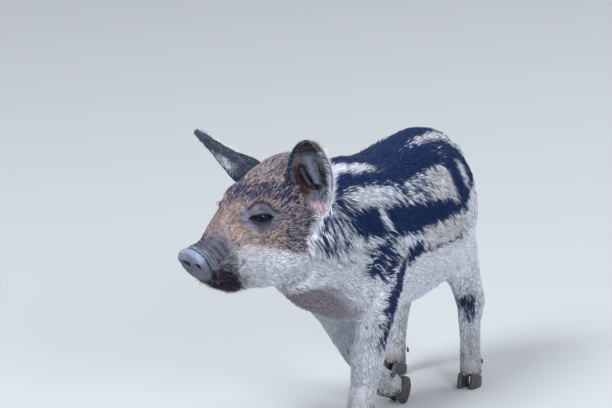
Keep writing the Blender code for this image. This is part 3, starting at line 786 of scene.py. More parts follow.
def ear_wall(points, along, edge, hues):
    """Colour inside an ear: brown in front, grey behind, with the red canal and the pink lobe, painted shade
    in its crease and slit, and a painted highlight on its ridge.
    """
    behind = ramp(-0.5, -0.1, edge)
    wall = mixed(hues["ear_brown"], hues["ear_lilac"], behind)
    wall = wall * (0.9 + 0.3 * grain(points, 3, 55))[:, None]
    ragged = 1.6 * grain(points, 4, 57) + 0.8 * grain(points, 1.8, 58)
    tragus, ridge, crease, slit = (
        on_ear_wall(along, edge, line) for line in (EAR_TRAGUS, EAR_RIDGE, EAR_CREASE, EAR_SLIT))
    return laid(
        wall, hues,
        ("ear_pink", ramp(0.16, 0.06, along) * behind, 1),
        ("ear_red", ramp(5.4, 2.6, tragus + ragged) * 0.95, 0.7 - 0.5 * ramp(0.3, 0.5, along)),
        # the raised ridge is lilac skin with a painted highlight, a third brighter than the rear wall
        ("ear_lilac", ramp(3.4, 1.2, ridge), 1.35),
        # painted shade in the crease, and nearly black in the slit
        ("crease", ramp(2.2, 1.0, crease) * 0.75, 1),
        ("crease", ramp(4.4, 2.6, slit + ragged), 0.4),
        ("brown", ramp(0.66, 0.76, along) * ramp(-0.75, -0.6, edge), 1))


def snout_slate(points, hues):
    """The bare skin of the snout: slate on the disc, purple behind it, with painted shade low on the disc and
    a painted highlight along its upper rim.
    """
    local = to_disc(points)
    behind = local[:, 1]
    slate = hues["slate"] * (0.95 + 0.2 * grain(points, 5, 51) + 0.12 * grain(points, 1.6, 52))[:, None]
    slate = laid(slate, hues, ("purple", ramp(9, 15, behind) * 0.85, 1 + 0.25 * grain(points, 3, 56)))
    # painted shade on the lower part of the disc, and a painted highlight along its upper rim
    low = ramp(2, -12, to_head(points)[:, 2]) * ramp(8, 5, behind)
    painted_rim_highlight = ramp(3, 8, local[:, 2]) * ramp(10, 6, behind)
    return slate * (1.15 - 0.5 * low + 0.75 * painted_rim_highlight)[:, None]


def skin_colours(points, region, hues):
    """The skin's colour: the coat's own, dulled, with bare skin where the hair is thin."""
    dark, pale, share = markings(points, region, hues)
    under = mixed(dark, pale, share * 0.9)
    flesh = mixed(hues["skin_dark"], hues["skin_pink"], np.clip(share * 1.2 - 0.1, 0, 1))
    colour = mixed(under, flesh, 0.25 - 0.15 * region["leg"])
    colour = laid(colour, hues, ("throat", throat(points) * 0.95, 0.95 + 0.3 * grain(points, 6, 50)))
    # the snout; painted shade in its wrinkles, in the mouth's line and deep in the nostrils; and the mouth's
    # red corner
    bare = bare_snout(points) * region["head"]
    colour = mixed(colour, snout_slate(points, hues), bare)
    head, local = to_head(points), to_disc(points)
    pad = region["head"] * ramp(-96, -104, head[:, 1]) * (1 - bare)
    hole = (np.hypot(np.abs(local[:, 0]) - NOSTRIL_SPREAD, local[:, 2]) < 6.5) * (local[:, 1] < 8)
    corner = np.linalg.norm(head - MOUTH_CORNER, axis=1)
    colour = laid(
        colour, hues,
        ("purple", pad * 0.6, 1),
        ("crease", np.clip(1.3 * snout_wrinkles(points)[1], 0, 1) * bare * 0.9, 1),
        ("crease", ramp(1.7, 0.6, mouth_gap(head)) * region["head"], 1),
        ("crease", ramp(2.2, 4.2, local[:, 1]) * hole * region["head"], 1),
        ("ear_red", ramp(3.0, 1.5, corner) * 0.8, 1))
    # dark lid margins in lavender-grey skin, with painted shade in its folds
    ring, fold, margin = eye_ring(points)
    colour = laid(
        colour, hues,
        ("lavender", ring * 0.9, 0.92 + 0.2 * grain(points, 2.4, 54)),
        ("crease", fold * 0.85, 1),
        ("lid", margin, 1))
    # the ears
    _, along, edge, _, _, facing = region["ear_places"]
    colour = mixed(colour, ear_wall(points, along, edge, hues), region["ear"] * ramp(0.3, -0.5, facing))
    colour = laid(colour, hues, ("dark", region["ear"] * ramp(-0.74, -0.88, edge), 0.5))
    for side in (1, -1):
        gap, _ = from_line(points, lobe_line(side))
        colour = laid(colour, hues, ("ear_pink", ramp(4.0, 2.0, gap) * 0.8, 1))
    # the skin darkens to the horn at each coronet
    colour = laid(colour, hues, ("horn", ramp(15, 9, points[:, 2]) * region["leg"] * 0.7, 1))
    return np.clip(colour, 0.002, 1)


# ---- materials ----

def add_node(tree, kind, settings=None, links=None):
    """Adds a node, sets its properties and sockets, and links its inputs."""
    node = tree.nodes.new(kind)
    for name, value in (settings or {}).items():
        if hasattr(node, name):
            setattr(node, name, value)
        else:
            node.inputs[name].default_value = value
    for name, source in (links or {}).items():
        tree.links.new(source, node.inputs[name])
    return node


def new_material(name, **sockets):
    """A material, its nodes and its shader, with values set on the shader's sockets."""
    made = bpy.data.materials.new(name)
    made.use_nodes = True
    shader = made.node_tree.nodes["Principled BSDF"]
    for socket, value in sockets.items():
        shader.inputs[socket.replace("_", " ")].default_value = value
    return made, made.node_tree, shader


def object_places(tree):
    """The object's own coordinates, so that patterns keep their real size."""
    return add_node(tree, "ShaderNodeTexCoord").outputs["Object"]


def noise(tree, scale, **settings):
    """Noise over the object's own places, its scale to the metre."""
    return add_node(tree, "ShaderNodeTexNoise", {"Scale": scale, **settings},
                    {"Vector": object_places(tree)}).outputs["Fac"]


def painted(tree, shader, spots=None, most=0.7, darkest=0.85):
    """The mesh's pigment as the base colour, lightened and darkened by a pattern; where that pattern is also
    a bump's height, this is painted shade in its hollows and painted light on its ridges.
    """
    colour = add_node(tree, "ShaderNodeAttribute", {"attribute_name": "pigment"}).outputs["Color"]
    if spots:
        tone = add_node(tree, "ShaderNodeMapRange",
                        {"From Min": 0.3, "From Max": most, "To Min": darkest, "To Max": 1.15},
                        {"Value": spots})
        colour = add_node(tree, "ShaderNodeVectorMath", {"operation": "SCALE"},
                          {"Vector": colour, "Scale": tone.outputs["Result"]}).outputs["Vector"]
    tree.links.new(colour, shader.inputs["Base Color"])


def bumped(tree, height, strength, distance, **links):
    """A surface's normal roughened by a height."""
    return add_node(tree, "ShaderNodeBump", {"Strength": strength, "Distance": distance},
                    {"Height": height, **links}).outputs["Normal"]


def skin_material():
    """Living skin under hair: soft and faintly oily, its pores 0.8 mm apart among fine creases."""
    made, tree, shader = new_material(
        "piglet_skin", Roughness=0.55, Subsurface_Weight=0.08, Subsurface_Scale=0.0015)
    pores = add_node(tree, "ShaderNodeTexVoronoi", {"Scale": 1 / (0.8 * MM)}, {"Vector": object_places(tree)})
    folds = noise(tree, 1 / (2.4 * MM), Detail=5.0, Roughness=0.65)
    # the pigment darkens in the hollows of the fine creases and lightens on their ridges, by the same noise
    # as their bump: painted shade and painted light
    painted(tree, shader, folds, 0.75, 0.8)
    coarse = bumped(tree, folds, 0.35, 0.0006)
    fine = bumped(tree, pores.outputs["Distance"], 0.3, 0.0002, Normal=coarse)
    tree.links.new(fine, shader.inputs["Normal"])
    return made


def hair_material():
    """Coarse straight bristle: keratin with a soft broken gloss along each lock."""
    made, tree, shader = new_material("piglet_bristle", Roughness=0.55, IOR=1.5, Specular_IOR_Level=0.2)
    painted(tree, shader, noise(tree, 1 / (1.2 * MM), Detail=2.0))
    return made


def horn_material(colour):
    """Hoof horn: grown in fine rings, dull from the ground, mottled dark and pale."""
    made, tree, shader = new_material("hoof_horn_dressed", Roughness=0.48, IOR=1.54)
    rings = add_node(tree, "ShaderNodeTexWave",
                     {"bands_direction": "Z", "Scale": 1 / (9 * MM), "Distortion": 1.6, "Detail": 2.0},
                     {"Vector": object_places(tree)})
    mottled = add_node(tree, "ShaderNodeValToRGB", {}, {"Fac": noise(tree, 1 / (3 * MM), Detail=4.0)})
    for stop, place, tone in zip(mottled.color_ramp.elements, (0.3, 0.75), (0.6, 1.7)):
        stop.position = place
        stop.color = (*(tone * np.array(colour)), 1)
    tree.links.new(mottled.outputs["Color"], shader.inputs["Base Color"])
    tree.links.new(bumped(tree, rings.outputs["Fac"], 0.4, 0.0003), shader.inputs["Normal"])
    return made


def eye_material():
    """A wet eye: its iris nearly as dark as the pupil under a clear cornea."""
    made, tree, shader = new_material(
        "eye_wet", Roughness=0.5, IOR=1.38, Specular_IOR_Level=0.0,
        Coat_Weight=1.0, Coat_IOR=1.25, Coat_Roughness=0.02)
    painted(tree, shader)
    return made


def floor_material(colour):
    """A painted studio floor: matt, pale and even, with a slight tooth."""
    made, tree, shader = new_material("studio_floor", Roughness=0.85)
    shader.inputs["Base Color"].default_value = (*colour, 1)
    tooth = noise(tree, 90.0, Detail=3.0)
    tree.links.new(bumped(tree, tooth, 0.08, 0.001), shader.inputs["Normal"])
    return made


# ---- meshes ----

def link(name, data):
    """A new object in the scene that shows a mesh, a lamp or a camera."""
    thing = bpy.data.objects.new(name, data)
    bpy.context.scene.collection.objects.link(thing)
    return thing


def choose(*things):
    """Selects these objects alone, the first one active."""
    bpy.ops.object.select_all(action="DESELECT")
    for thing in things:
        thing.select_set(True)
    bpy.context.view_layer.objects.active = things[0]


def joined(name, things):
    """Things made into one, under this name."""
    choose(*things)
    if len(things) > 1:
        bpy.ops.object.join()
    things[0].name = name
    return things[0]


def read_rows(items, key, width, kind=np.float32):
    """A property of each of a mesh's items, as rows."""
    flat = np.empty(len(items) * width, kind)
    items.foreach_get(key, flat)
    return flat.reshape(-1, width)


def read_points(mesh):
    return read_rows(mesh.vertices, "co", 3).astype(float)


def read_normals(mesh):
    return read_rows(mesh.vertex_normals, "vector", 3).astype(float)


def read_edges(mesh):
    return read_rows(mesh.edges, "vertices", 2, np.int32)


def write_points(mesh, points):
    mesh.vertices.foreach_set("co", points.astype(np.float32).ravel())
    mesh.update()


def neighbours_mean(points, edges, degree):
    """The mean of each point's neighbours along the edges."""
    out = np.empty_like(points)
    for axis in range(3):
        out[:, axis] = (np.bincount(edges[:, 0], points[edges[:, 1], axis], len(points))
                        + np.bincount(edges[:, 1], points[edges[:, 0], axis], len(points)))
    return out / degree[:, None]


def relaxed(points, edges, rounds, keep_size=True):
    """Facets smoothed away by rounds of averaging, each followed by one the other way to keep the size."""
    degree = np.maximum(np.bincount(edges.ravel(), minlength=len(points)), 1)
    for _ in range(rounds):
        for pull in ((0.5, -0.515) if keep_size else (0.5,)):
            points = toward(points, neighbours_mean(points, edges, degree), pull)
    return points


def remeshed(thing, voxel):
    """The thing as one even mesh, its voxels this many metres across."""
    choose(thing)
    modifier = thing.modifiers.new("remesh", "REMESH")
    modifier.mode = "VOXEL"
    modifier.voxel_size = voxel
    bpy.ops.object.modifier_apply(modifier=modifier.name)
    return thing


def paint(mesh, colours):
    """Writes linear colours to the mesh's pigment."""
    layer = (mesh.color_attributes.get("pigment")
             or mesh.color_attributes.new("pigment", "FLOAT_COLOR", "POINT"))
    rgba = np.ones((len(mesh.vertices), 4), np.float32)
    rgba[:, :3] = colours
    layer.data.foreach_set("color", rgba.ravel())


def shade_smooth(mesh):
    mesh.polygons.foreach_set("use_smooth", np.ones(len(mesh.polygons), bool))
    mesh.update()


def edited(thing, operation, **settings):
    """Runs one of Blender's mesh operations on all of a thing's faces."""
    choose(thing)
    bpy.ops.object.mode_set(mode="EDIT")
    bpy.ops.mesh.select_all(action="SELECT")
    operation(**settings)
    bpy.ops.object.mode_set(mode="OBJECT")
    return thing


def node_copy(name):
    """A merged copy of a node of the frame."""
    thing = link("copy_" + name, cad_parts[name].data.copy())
    return edited(thing, bpy.ops.mesh.remove_doubles, threshold=MERGE_GAP)


def sphere(segments, rings, radius):
    """A ball round the model's origin."""
    bpy.ops.object.select_all(action="DESELECT")
    bpy.ops.mesh.primitive_uv_sphere_add(segments=segments, ring_count=rings, radius=radius)
    return bpy.context.object


def lofted(name, rings):
    """A closed mesh through rings of points in the body's frame, its ends closed with fans."""
    rings = [np.asarray(ring) for ring in rings]
    count = len(rings[0])
    points = np.vstack(rings + [rings[0].mean(0)[None], rings[-1].mean(0)[None]])
    faces = []
    hub = len(rings) * count
    last = hub - count
    steps = [(k, (k + 1) % count) for k in range(count)]
    for a in range(0, last, count):
        faces += [(a + k, a + n, a + count + n, a + count + k) for k, n in steps]
    faces += [(n, k, hub) for k, n in steps]
    faces += [(last + k, last + n, hub + 1) for k, n in steps]
    mesh = bpy.data.meshes.new(name)
    mesh.from_pydata(to_model(points).tolist(), [], faces)
    return edited(link(name, mesh), bpy.ops.mesh.normals_make_consistent, inside=False)


# ---- the skin ----

def ear_fold(share, edge):
    """How far the ear's inner wall stands in: the folds that rise beside its slit, mm."""
    place = np.atleast_1d(share), np.atleast_1d(edge)
    ridge = 2.6 * hump(on_ear_wall(*place, EAR_RIDGE), 0, 2.2)
    tragus = 2.2 * hump(on_ear_wall(*place, EAR_TRAGUS), 0, 2.4)
    slit = 1.6 * hump(on_ear_wall(*place, EAR_SLIT), 0, 1.5)
    crease = 0.9 * hump(on_ear_wall(*place, EAR_CREASE), 0, 1.2)
    tip = 0.8 * hump(place[0], 0.8, 0.03) * (np.abs(place[1]) < 0.8)
    return ridge + tragus + tip - slit - crease


def ear_solid(side):
    """The ear's wall, a little thinner than its solid, its rim rounded."""
    rings = []
    for row in ear_rows(side):
        wall = min(EAR_THICKNESS, row[4] * 0.8)
        outer, inner = [], []
        for edge in np.linspace(-1, 1, 49):
            rounding = 1 - 0.55 * ramp(0.9, 1.0, abs(edge))
            skin = 0.35 + (wall - 0.7) * (1 - rounding) / 2
            angle = row[5] * edge * 0.985
            outer.append(ear_point(row, angle, skin)[0])
            inner.append(ear_point(row, angle, wall - skin + ear_fold(row[6], edge * side)[0])[0])
        rings.append(np.array(outer + inner[::-1]))
    return lofted(f"ear_wall_{side}", rings)


def lobe_line(side):
    """The lower rim of the ear, curving forward from its rear edge to the cheek."""
    place, across, _, along, _, _, _ = ear_rows(side)[0]
    half = EAR_ROWS[side][0][1] / 2
    return np.array([
        place + across * side * half * math.cos(t) * 0.9 - along * 0.8 * math.sin(t)
        for t in np.radians((0, 15, 30, 45, 60, 75))])


def tube_solid(name, line, radii, sides=20):
    """A closed tube of changing radius along a line."""
    rings = []
    for i, place in enumerate(line):
        along = unit(line[min(i + 1, len(line) - 1)] - line[max(i - 1, 0)])
        across = unit(np.cross(along, (0.12, 1.0, 0.3)))
        up = np.cross(across, along)
        rings.append([place + radii[i] * (across * math.cos(a) + up * math.sin(a))
                      for a in np.linspace(0, 2 * math.pi, sides, endpoint=False)])
    return lofted(name, rings)


def disc_solid():
    """The round pad on the end of the snout, its rim rolled."""
    rings = []
    for share, back in DISC_PROFILE:
        ring = []
        for angle in np.linspace(0, 2 * math.pi, 64, endpoint=False):
            c, s = math.cos(angle), math.sin(angle)
            dip = 1 - 0.035 * hump(s, 1.0, 0.25)
            x = math.copysign(abs(c) ** DISC_ROUNDNESS, c) * DISC_HALF_WIDTH * share
            z = math.copysign(abs(s) ** DISC_ROUNDNESS, s) * DISC_HALF_HEIGHT * share * dip
            ring.append(DISC_PLACE + DISC_TURN @ np.array((x, back, z)))
        rings.append(ring)
    return lofted("disc_pad", rings)


def tail_solid():
    """The tail's skin: a little slimmer than its solid."""
    line = curve_through(TAIL, 5)
    return tube_solid("tail_core", line[:, :3], line[:, 3] * 0.74)


def lobe_solid(side):
    """The rolled lower rim of an ear."""
    line = curve_through(lobe_line(side), 4)
    return tube_solid(f"ear_lobe_{side}", line, 1.9 - 0.5 * np.linspace(0, 1, len(line)), 12)


def coat_depth(points):
    """How far the skin lies inside the solids, mm."""
    z = points[:, 2]
    depth = 2.1 - 0.8 * ramp(125, 100, z)
    depth = toward(depth, 1.0, ramp(105, 85, z))
    depth = toward(depth, 0.35, ramp(26, 14, z))
    y = to_head(points)[:, 1]
    face = 1.0 - 0.5 * ramp(-80, -104, y) - 0.35 * ramp(-108, -120, y)
    return toward(depth, face, ramp(6, -6, past_neck(points)))


# Folds of the skin: line in the head's frame (mirrored), width and depth, mm.
HEAD_FOLDS = (
    (((8, -74, 39), (17, -77, 34), (24, -76, 30), (30, -66, 26)), 2.0, 0.5),
    (((20, -86, 6), (27, -80, 4), (33, -70, 4), (36, -60, 8)), 2.2, 0.55),
    (((24, -84, 0), (31, -76, -4), (36, -66, -6)), 2.0, 0.35),
    (((16, -98, 14), (22, -94, 6), (26, -88, -2)), 3.0, 0.5),
    (((30, -40, -34), (22, -60, -42), (12, -78, -44)), 3.5, 0.8),
)
# Folds of the body in its own frame: line, width and depth, mm.
BODY_FOLDS = (
    (((12, -172, 150), (22, -150, 142), (26, -130, 128), (24, -116, 112)), 3.5, 1.4),
    (((2, -178, 140), (14, -158, 128), (20, -136, 112), (12, -118, 100)), 4.0, 1.0),
    (((20, -168, 162), (30, -148, 152), (38, -132, 146)), 4.0, 0.9),
    (((44, -62, 158), (45, -60, 138), (42, -58, 118)), 5.0, 1.6),
    (((44, 60, 132), (42, 66, 116), (36, 68, 104)), 5.0, 1.4),
    (((36, -84, 108), (40, -72, 100), (38, -62, 98)), 3.5, 1.2),
)


def fold_depths(points, head, region_head):
    """How far the folds press the skin in, mm, with the flesh swelling beside them."""
    pressed = np.zeros(len(points))
    for folds, places, weight in ((HEAD_FOLDS, head, region_head), (BODY_FOLDS, points, 1 - region_head)):
        for line, width, depth in folds:
            gap, run = from_line(mirrored(places), curve_through(line, 3))
            ends = ramp(0, 0.15, run) * ramp(1, 0.85, run)
            swelling = 0.45 * hump(gap, width * 1.5, width * 0.8)
            pressed += depth * weight * ends * (hump(gap, 0, width * 0.6) - swelling)
    return pressed


# Wrinkles over the muzzle: distance behind the disc's face, depth and width, mm.
SNOUT_WRINKLES = (
    (7.2, 2.2, 1.3), (10.0, 1.0, 0.8), (12.8, 1.3, 0.9), (16.4, 1.3, 1.0), (20.5, 0.9, 1.0), (25, 0.7, 1.0))


def snout_wrinkles(points):
    """Depth of the wrinkles that curve over the muzzle parallel to the disc, and the share of painted shade
    in them.
    """
    local = to_disc(points)
    wavy = 0.7 * np.sin(local[:, 0] * 0.3 + 1) + 1.1 * grain(points, 8, 64)
    back = local[:, 1] + wavy * ramp(7, 10, local[:, 1])
    upper = ramp(-11, -3, local[:, 2])
    depth, line = np.zeros(len(points)), np.zeros(len(points))
    for place, deep, wide in SNOUT_WRINKLES:
        reach = 1.0 if place < 9 else upper
        fade = 1.0 if place < 9 else ramp(-0.6, 0.1, grain(points, 9, 65 + place))
        depth += deep * hump(back, place, wide) * reach * fade
        line = np.maximum(line, hump(back, place, wide * 0.6) * reach * fade)
    return depth, line


def detailed(points, normals):
    """The smooth skin with the folds of its face, throat and limbs."""
    head = to_head(points)
    region_head = ramp(4, -4, past_neck(points))
    pressed = fold_depths(points, head, region_head)
    pressed += snout_wrinkles(points)[0] * region_head
    mouth = mouth_gap(head)
    pressed += region_head * (1.7 * hump(mouth, 0, 0.9) - 0.5 * hump(mouth, 2.4, 1.3))
    bumps = 0.18 * grain(points, 5, 60) + 0.08 * grain(points, 2.2, 61)
    points = points + normals * (bumps * (0.4 + region_head) - pressed)[:, None]
    for side in (1, -1):
        points = lidded(points, side)
    return with_nostrils(points)


def lidded(points, side):
    """Lids drawn over the ball, with the opening between them sunk behind its surface."""
    centre, axes = eye_frame(side)
    local = (points - centre) @ axes
    near = (local[:, 0] > -8) & (np.linalg.norm(local[:, 1:], axis=1) < 19) & (local[:, 0] < 22)
    here = local[near]
    gap, level = past_lid(here)
    snap = np.clip(gap, -0.3, 0.3) * ramp(0.5, 0.25, np.abs(gap)) * (np.abs(here[:, 1]) < LID_HALF_LENGTH)
    here[:, 2] -= snap * np.sign(level)
    gap, level = past_lid(here)
    reach = np.minimum(np.hypot(here[:, 1], here[:, 2]), EYE_RADIUS * 1.02)
    ball = np.sqrt(np.maximum((EYE_RADIUS * LID_CLEARANCE) ** 2 - reach ** 2, 1.0))
    lid = ball + 0.75 + 0.55 * hump(level, 1.4, 1.1) + 0.35 * hump(level, -1.3, 0.9)
    lid += 0.4 * hump(level, 4.4, 2.0)
    lid -= 0.4 * hump(level, -2.9, 0.5) + 0.35 * hump(level, -5.2, 0.6)
    beyond = np.maximum(np.abs(here[:, 1]) - LID_HALF_LENGTH + 2, 0)
    blend = ramp(6.5, 0.5, gap) * ramp(8, 2, beyond)
    outside = toward(here[:, 0], np.minimum(lid, here[:, 0] + 1.2), blend)
    arc = ramp(15, 11, np.abs(here[:, 1] - 2))
    fold = brow_crease(here)
    outside += arc * (0.9 * hump(level, fold + 2.6, 1.8) - 1.1 * hump(level, fold, 0.9))
    here[:, 0] = toward(outside, np.minimum(ball - OPENING_DEPTH, outside), ramp(0.05, -0.35, gap))
    local[near] = here
    return np.where(near[:, None], centre + local @ axes.T, points)


def with_nostrils(points):
    """Nostrils sunk in the disc, each with a raised rim, and a shallow groove between them."""
    local = to_disc(points)
    face = ramp(6, 3, np.abs(local[:, 1])) * (np.abs(local[:, 0]) < 20) * (np.abs(local[:, 2]) < 17)
    across = np.abs(local[:, 0]) - NOSTRIL_SPREAD
    rise = local[:, 2] + 0.8 - 0.2 * across - 0.06 * across ** 2
    ring = np.hypot(across / NOSTRIL_SIZE[0], rise / NOSTRIL_SIZE[1])
    local[:, 1] += face * (NOSTRIL_DEPTH * ramp(1.02, 0.55, ring) - 0.9 * hump(ring, 1.4, 0.25))
    local[:, 1] += face * 0.8 * hump(np.hypot(local[:, 0] / 13, local[:, 2] / 9), 0, 0.9)
    local[:, 1] += face * (0.5 * hump(local[:, 0], 0, 1.2) * ramp(-12, -2, local[:, 2]))
    local[:, 1] += face * (0.16 * grain(points, 1.7, 62) + 0.1 * grain(points, 3.2, 63))
    return DISC_PLACE + local @ DISC_TURN.T


def refine_near_eyes(thing):
    """Splits the faces round the eyes, so that the lid margins are crisp."""
    mesh = thing.data
    points = to_body(read_points(mesh))
    chosen = np.zeros(len(points), bool)
    for side in (1, -1):
        local = to_eye(points, side)
        chosen |= (local[:, 0] > 0) & (np.abs(local[:, 1]) < 12) & (np.abs(local[:, 2]) < 8)
    choose(thing)
    bpy.ops.object.mode_set(mode="EDIT")
    bpy.ops.mesh.select_mode(type="VERT")
    bpy.ops.mesh.select_all(action="DESELECT")
    bpy.ops.object.mode_set(mode="OBJECT")
    mesh.vertices.foreach_set("select", chosen)
    bpy.ops.object.mode_set(mode="EDIT")
    bpy.ops.mesh.subdivide(number_cuts=1, smoothness=0)
    bpy.ops.object.mode_set(mode="OBJECT")


def thinned(thing, triangles):
    """Fewer faces, taken mostly from the trunk and legs."""
    mesh = thing.data
    points = to_body(read_points(mesh))
    head = ramp(10, -10, past_neck(points))
    spare = np.round(1 - 0.75 * head, 1)
    group = thing.vertex_groups.new(name="spare")
    for value in np.unique(spare):
        group.add(np.flatnonzero(spare == value).tolist(), float(value), "REPLACE")
    faces = read_rows(mesh.polygons, "loop_total", 1, np.int32)
    modifier = thing.modifiers.new("thin", "DECIMATE")
    modifier.ratio = triangles / int((faces - 2).sum())
    modifier.vertex_group = group.name
    choose(thing)
    bpy.ops.object.modifier_apply(modifier=modifier.name)
    thing.vertex_groups.clear()


def eye_plug(side):
    """A ball that fills an eye's socket while the solids are joined."""
    centre, _ = eye_frame(side)
    plug = sphere(32, 16, (EYE_RADIUS + 0.7) * MM)
    plug.data.transform(Matrix.Translation(to_model(centre)))
    return plug


def build_skin(hues):
    """The nodes of flesh as one smooth skin, with ears, disc and tail, then its folds and its colours."""
    body = joined("piglet_skin", [node_copy(name) for name in FLESH])
    mesh = body.data
    write_points(mesh, read_points(mesh) + read_normals(mesh) * INFLATE * MM)
    body = remeshed(joined("piglet_skin", [body, eye_plug(1), eye_plug(-1)]), BODY_GRAIN)
    mesh = body.data
    points = relaxed(to_body(read_points(mesh)), read_edges(mesh), FACET_ROUNDS)
    write_points(mesh, to_model(points))
    inset = coat_depth(points) + INFLATE
    write_points(mesh, to_model(points - read_normals(mesh) * inset[:, None]))
    body = joined("piglet_skin", [
        body, ear_solid(1), ear_solid(-1), lobe_solid(1), lobe_solid(-1), disc_solid(), tail_solid()])
    remeshed(body, SKIN_GRAIN)
    mesh = body.data
    write_points(mesh, to_model(relaxed(to_body(read_points(mesh)), read_edges(mesh), VOXEL_ROUNDS)))
    refine_near_eyes(body)
    mesh = body.data
    write_points(mesh, to_model(detailed(to_body(read_points(mesh)), read_normals(mesh))))
    thinned(body, SKIN_TRIANGLES)
    mesh = body.data
    points = to_body(read_points(mesh))
    paint(mesh, skin_colours(points, regions(points), hues))
    shade_smooth(mesh)
    mesh.materials.clear()
    mesh.materials.append(skin_material())
    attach(body, "root")
    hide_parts(*FLESH, "ear_left", "ear_right", "tail")


# ---- the coat ----

def lie_of_trunk(points):
    """The way that hair lies on the trunk, neck and thighs: back, and falling down the sides."""
    angle = around_trunk(points)
    side = np.sign(points[:, 0])
    y, z = points[:, 1], points[:, 2]
    drop = np.radians(5 + 37 * ramp(8, 50, np.abs(angle)) * ramp(128, 98, np.abs(angle)))
    neck_drop = toward(76 - 34 * ramp(-165, -125, y), 20, ramp(70, 98, np.abs(angle)))
    drop = toward(drop, np.radians(neck_drop), ramp(-100, -135, y) * ramp(15, 30, np.abs(angle)))
    drop = toward(drop, np.radians(74), ramp(50, 100, y) * ramp(200, 150, z))
    drop = toward(drop, np.radians(85), ramp(96, 128, y))
    swing = np.radians(11) * grain(points, 20, 70) + np.radians(8) * grain(points, 7, 71)
    drop = drop + swing
    way = np.stack((side * 0.12 * np.sin(drop), np.cos(drop), -np.sin(drop)), axis=1)
    shoulder = between(y, -118, -60, 12) * between(z, 95, 150, 10) * ramp(70, 85, np.abs(angle))
    wave = np.radians(24) + np.radians(26) * np.cos(y / 4.2 + 0.05 * np.abs(angle)) + swing
    return mixed(way, np.stack((0 * y, np.cos(wave), -np.sin(wave)), axis=1), shoulder)


def lie_of_leg(points, leg):
    """The way that hair lies on a leg: down, and a little back."""
    y = points[:, 1]
    sway = 0.1 * grain(points, 9, 72), 0.22 + 0.15 * grain(points, 9, 73)
    down = np.stack((*sway, -np.ones(len(points))), axis=1)
    return mixed(down, np.array([(0.25, 0.5, -0.75)]), leg * ramp(-40, -15, y) * ramp(40, 20, y))


def lie_of_face(points):
    """The way that hair lies on the head: from the snout back, parting round the eye."""
    x, y, z = to_head(points).T
    spread = 0.28 * ramp(-105, -60, y)
    rise = 0.12 - 0.62 * ramp(14, -14, z) * ramp(-100, -62, y) + 0.25 * ramp(20, 34, z) * ramp(-84, -60, y)
    face = np.stack((np.sign(x) * spread * ramp(30, 8, np.abs(x)), np.ones(len(y)), rise), axis=1)
    face[:, 2] += 0.16 * grain(points, 9, 74) + 0.1 * grain(points, 4, 75)
    face[:, 0] += 0.14 * grain(points, 8, 76)
    return face @ HEAD_TURN.T


def lie_of_ear(ear):
    """The way that hair lies on an ear: along to the tip, and out past the rims."""
    which, _, edge, along, back, facing = ear
    across = np.cross(back, along)
    rim = across * (-edge * which * ramp(0.55, 1.0, np.abs(edge)))[:, None]
    inward = across * (-which * hump(edge, -0.62, 0.16) * ramp(0.2, -0.4, facing))[:, None]
    return along + 1.3 * rim + 1.2 * inward + np.array((0, 0.25, 0))


def lie_of_coat(points, normals, region):
    """The way that the hair lies at each place, along the skin."""
    way = lie_of_trunk(points)
    way = mixed(way, lie_of_leg(points, region["leg"]), region["leg"])
    way = mixed(way, lie_of_face(points), region["head"])
    way = mixed(way, lie_of_ear(region["ear_places"]), region["ear"])
    way = mixed(way, np.broadcast_to(unit(np.array((0, 0.15, -1.0))), way.shape), region["tail"])
    return along_skin(way, normals)


def along_skin(way, normals):
    """Ways laid flat on the skin."""
    return unit(way - normals * dots(way, normals)[:, None])


# Each part's coat: the length and width of a tuft in mm, its lift in degrees, and tufts to a square mm.
# Those of the face change from the snout back, so each row starts with a place in the head's frame.
FACE_LENGTHS = ((-124, 1.6), (-108, 2.2), (-92, 3.2), (-70, 4.4), (-40, 6.2), (-10, 8.0))
FACE_WIDTHS = ((-120, 0.32), (-90, 0.4), (-40, 0.5), (-10, 0.62))
FACE_DENSITIES = ((-120, 2.0), (-90, 2.3), (-50, 2.0), (-10, 1.4))
FACE_LIFT = 13


def trunk_coat(points):
    """Longest on the back, thinner under the belly and sparse on the throat."""
    side = np.abs(around_trunk(points))
    y, z = points[:, 1], points[:, 2]
    length = 10.5 + 1.5 * ramp(90, 40, side) - 3.5 * ramp(98, 120, side)
    length = length + 1.0 * ramp(-80, -125, y) * ramp(110, 80, side)
    length = length - 3.5 * ramp(60, 105, y) * ramp(200, 150, z)
    width = 0.62 + 0.08 * ramp(98, 120, side)
    lift = 8 + 4 * ramp(-90, -130, y) - 3 * ramp(40, 80, y)
    density = 1.0 - 0.4 * ramp(98, 118, side)
    bare = throat(points)
    return length - 3.0 * bare, width - 0.3 * bare, lift, density * (1 - 0.5 * bare)


def leg_coat(z):
    """Short and close, shortest at the feet."""
    return 4.6 + 2.4 * ramp(30, 90, z), 0.5, 7, 1.0


def face_coat(y, z):
    """Longer and coarser from the snout back."""
    length = through(FACE_LENGTHS, y) + 1.6 * ramp(-4, -24, z) * ramp(-100, -80, y)
    return length, through(FACE_WIDTHS, y), FACE_LIFT, through(FACE_DENSITIES, y)


def ear_coat(ear):
    """Fine and short, with a fringe along the rear rim and little hair inside."""
    _, along, edge, _, _, facing = ear
    outer = ramp(-0.5, 0.5, facing)
    rim = ramp(0.8, 0.97, np.abs(edge))
    rear = ramp(0.05, 0.5, edge)
    length = (3.2 + 3.4 * rim * rear + 0.6 * ramp(0.5, 0.2, along)) * ramp(1.25, 0.8, along)
    hairy = ramp(-0.35, -0.55, edge) * ramp(0.1, 0.2, along)
    hairy = hairy + between(edge, 0.3, 0.85, 0.1) * between(along, 0.22, 0.55, 0.06)
    inner = 0.6 + 0.6 * rim + 0.9 * hairy + 0.7 * ramp(0.68, 0.8, along)
    return length, 0.32, 7 + 14 * (1 - outer) + 10 * rim * rear, 1.7 * outer + inner * (1 - outer)


def blended(coat, other, share):
    """Each measure of a coat moved to another's by a share."""
    return tuple(toward(measure, wanted, share) for measure, wanted in zip(coat, other))


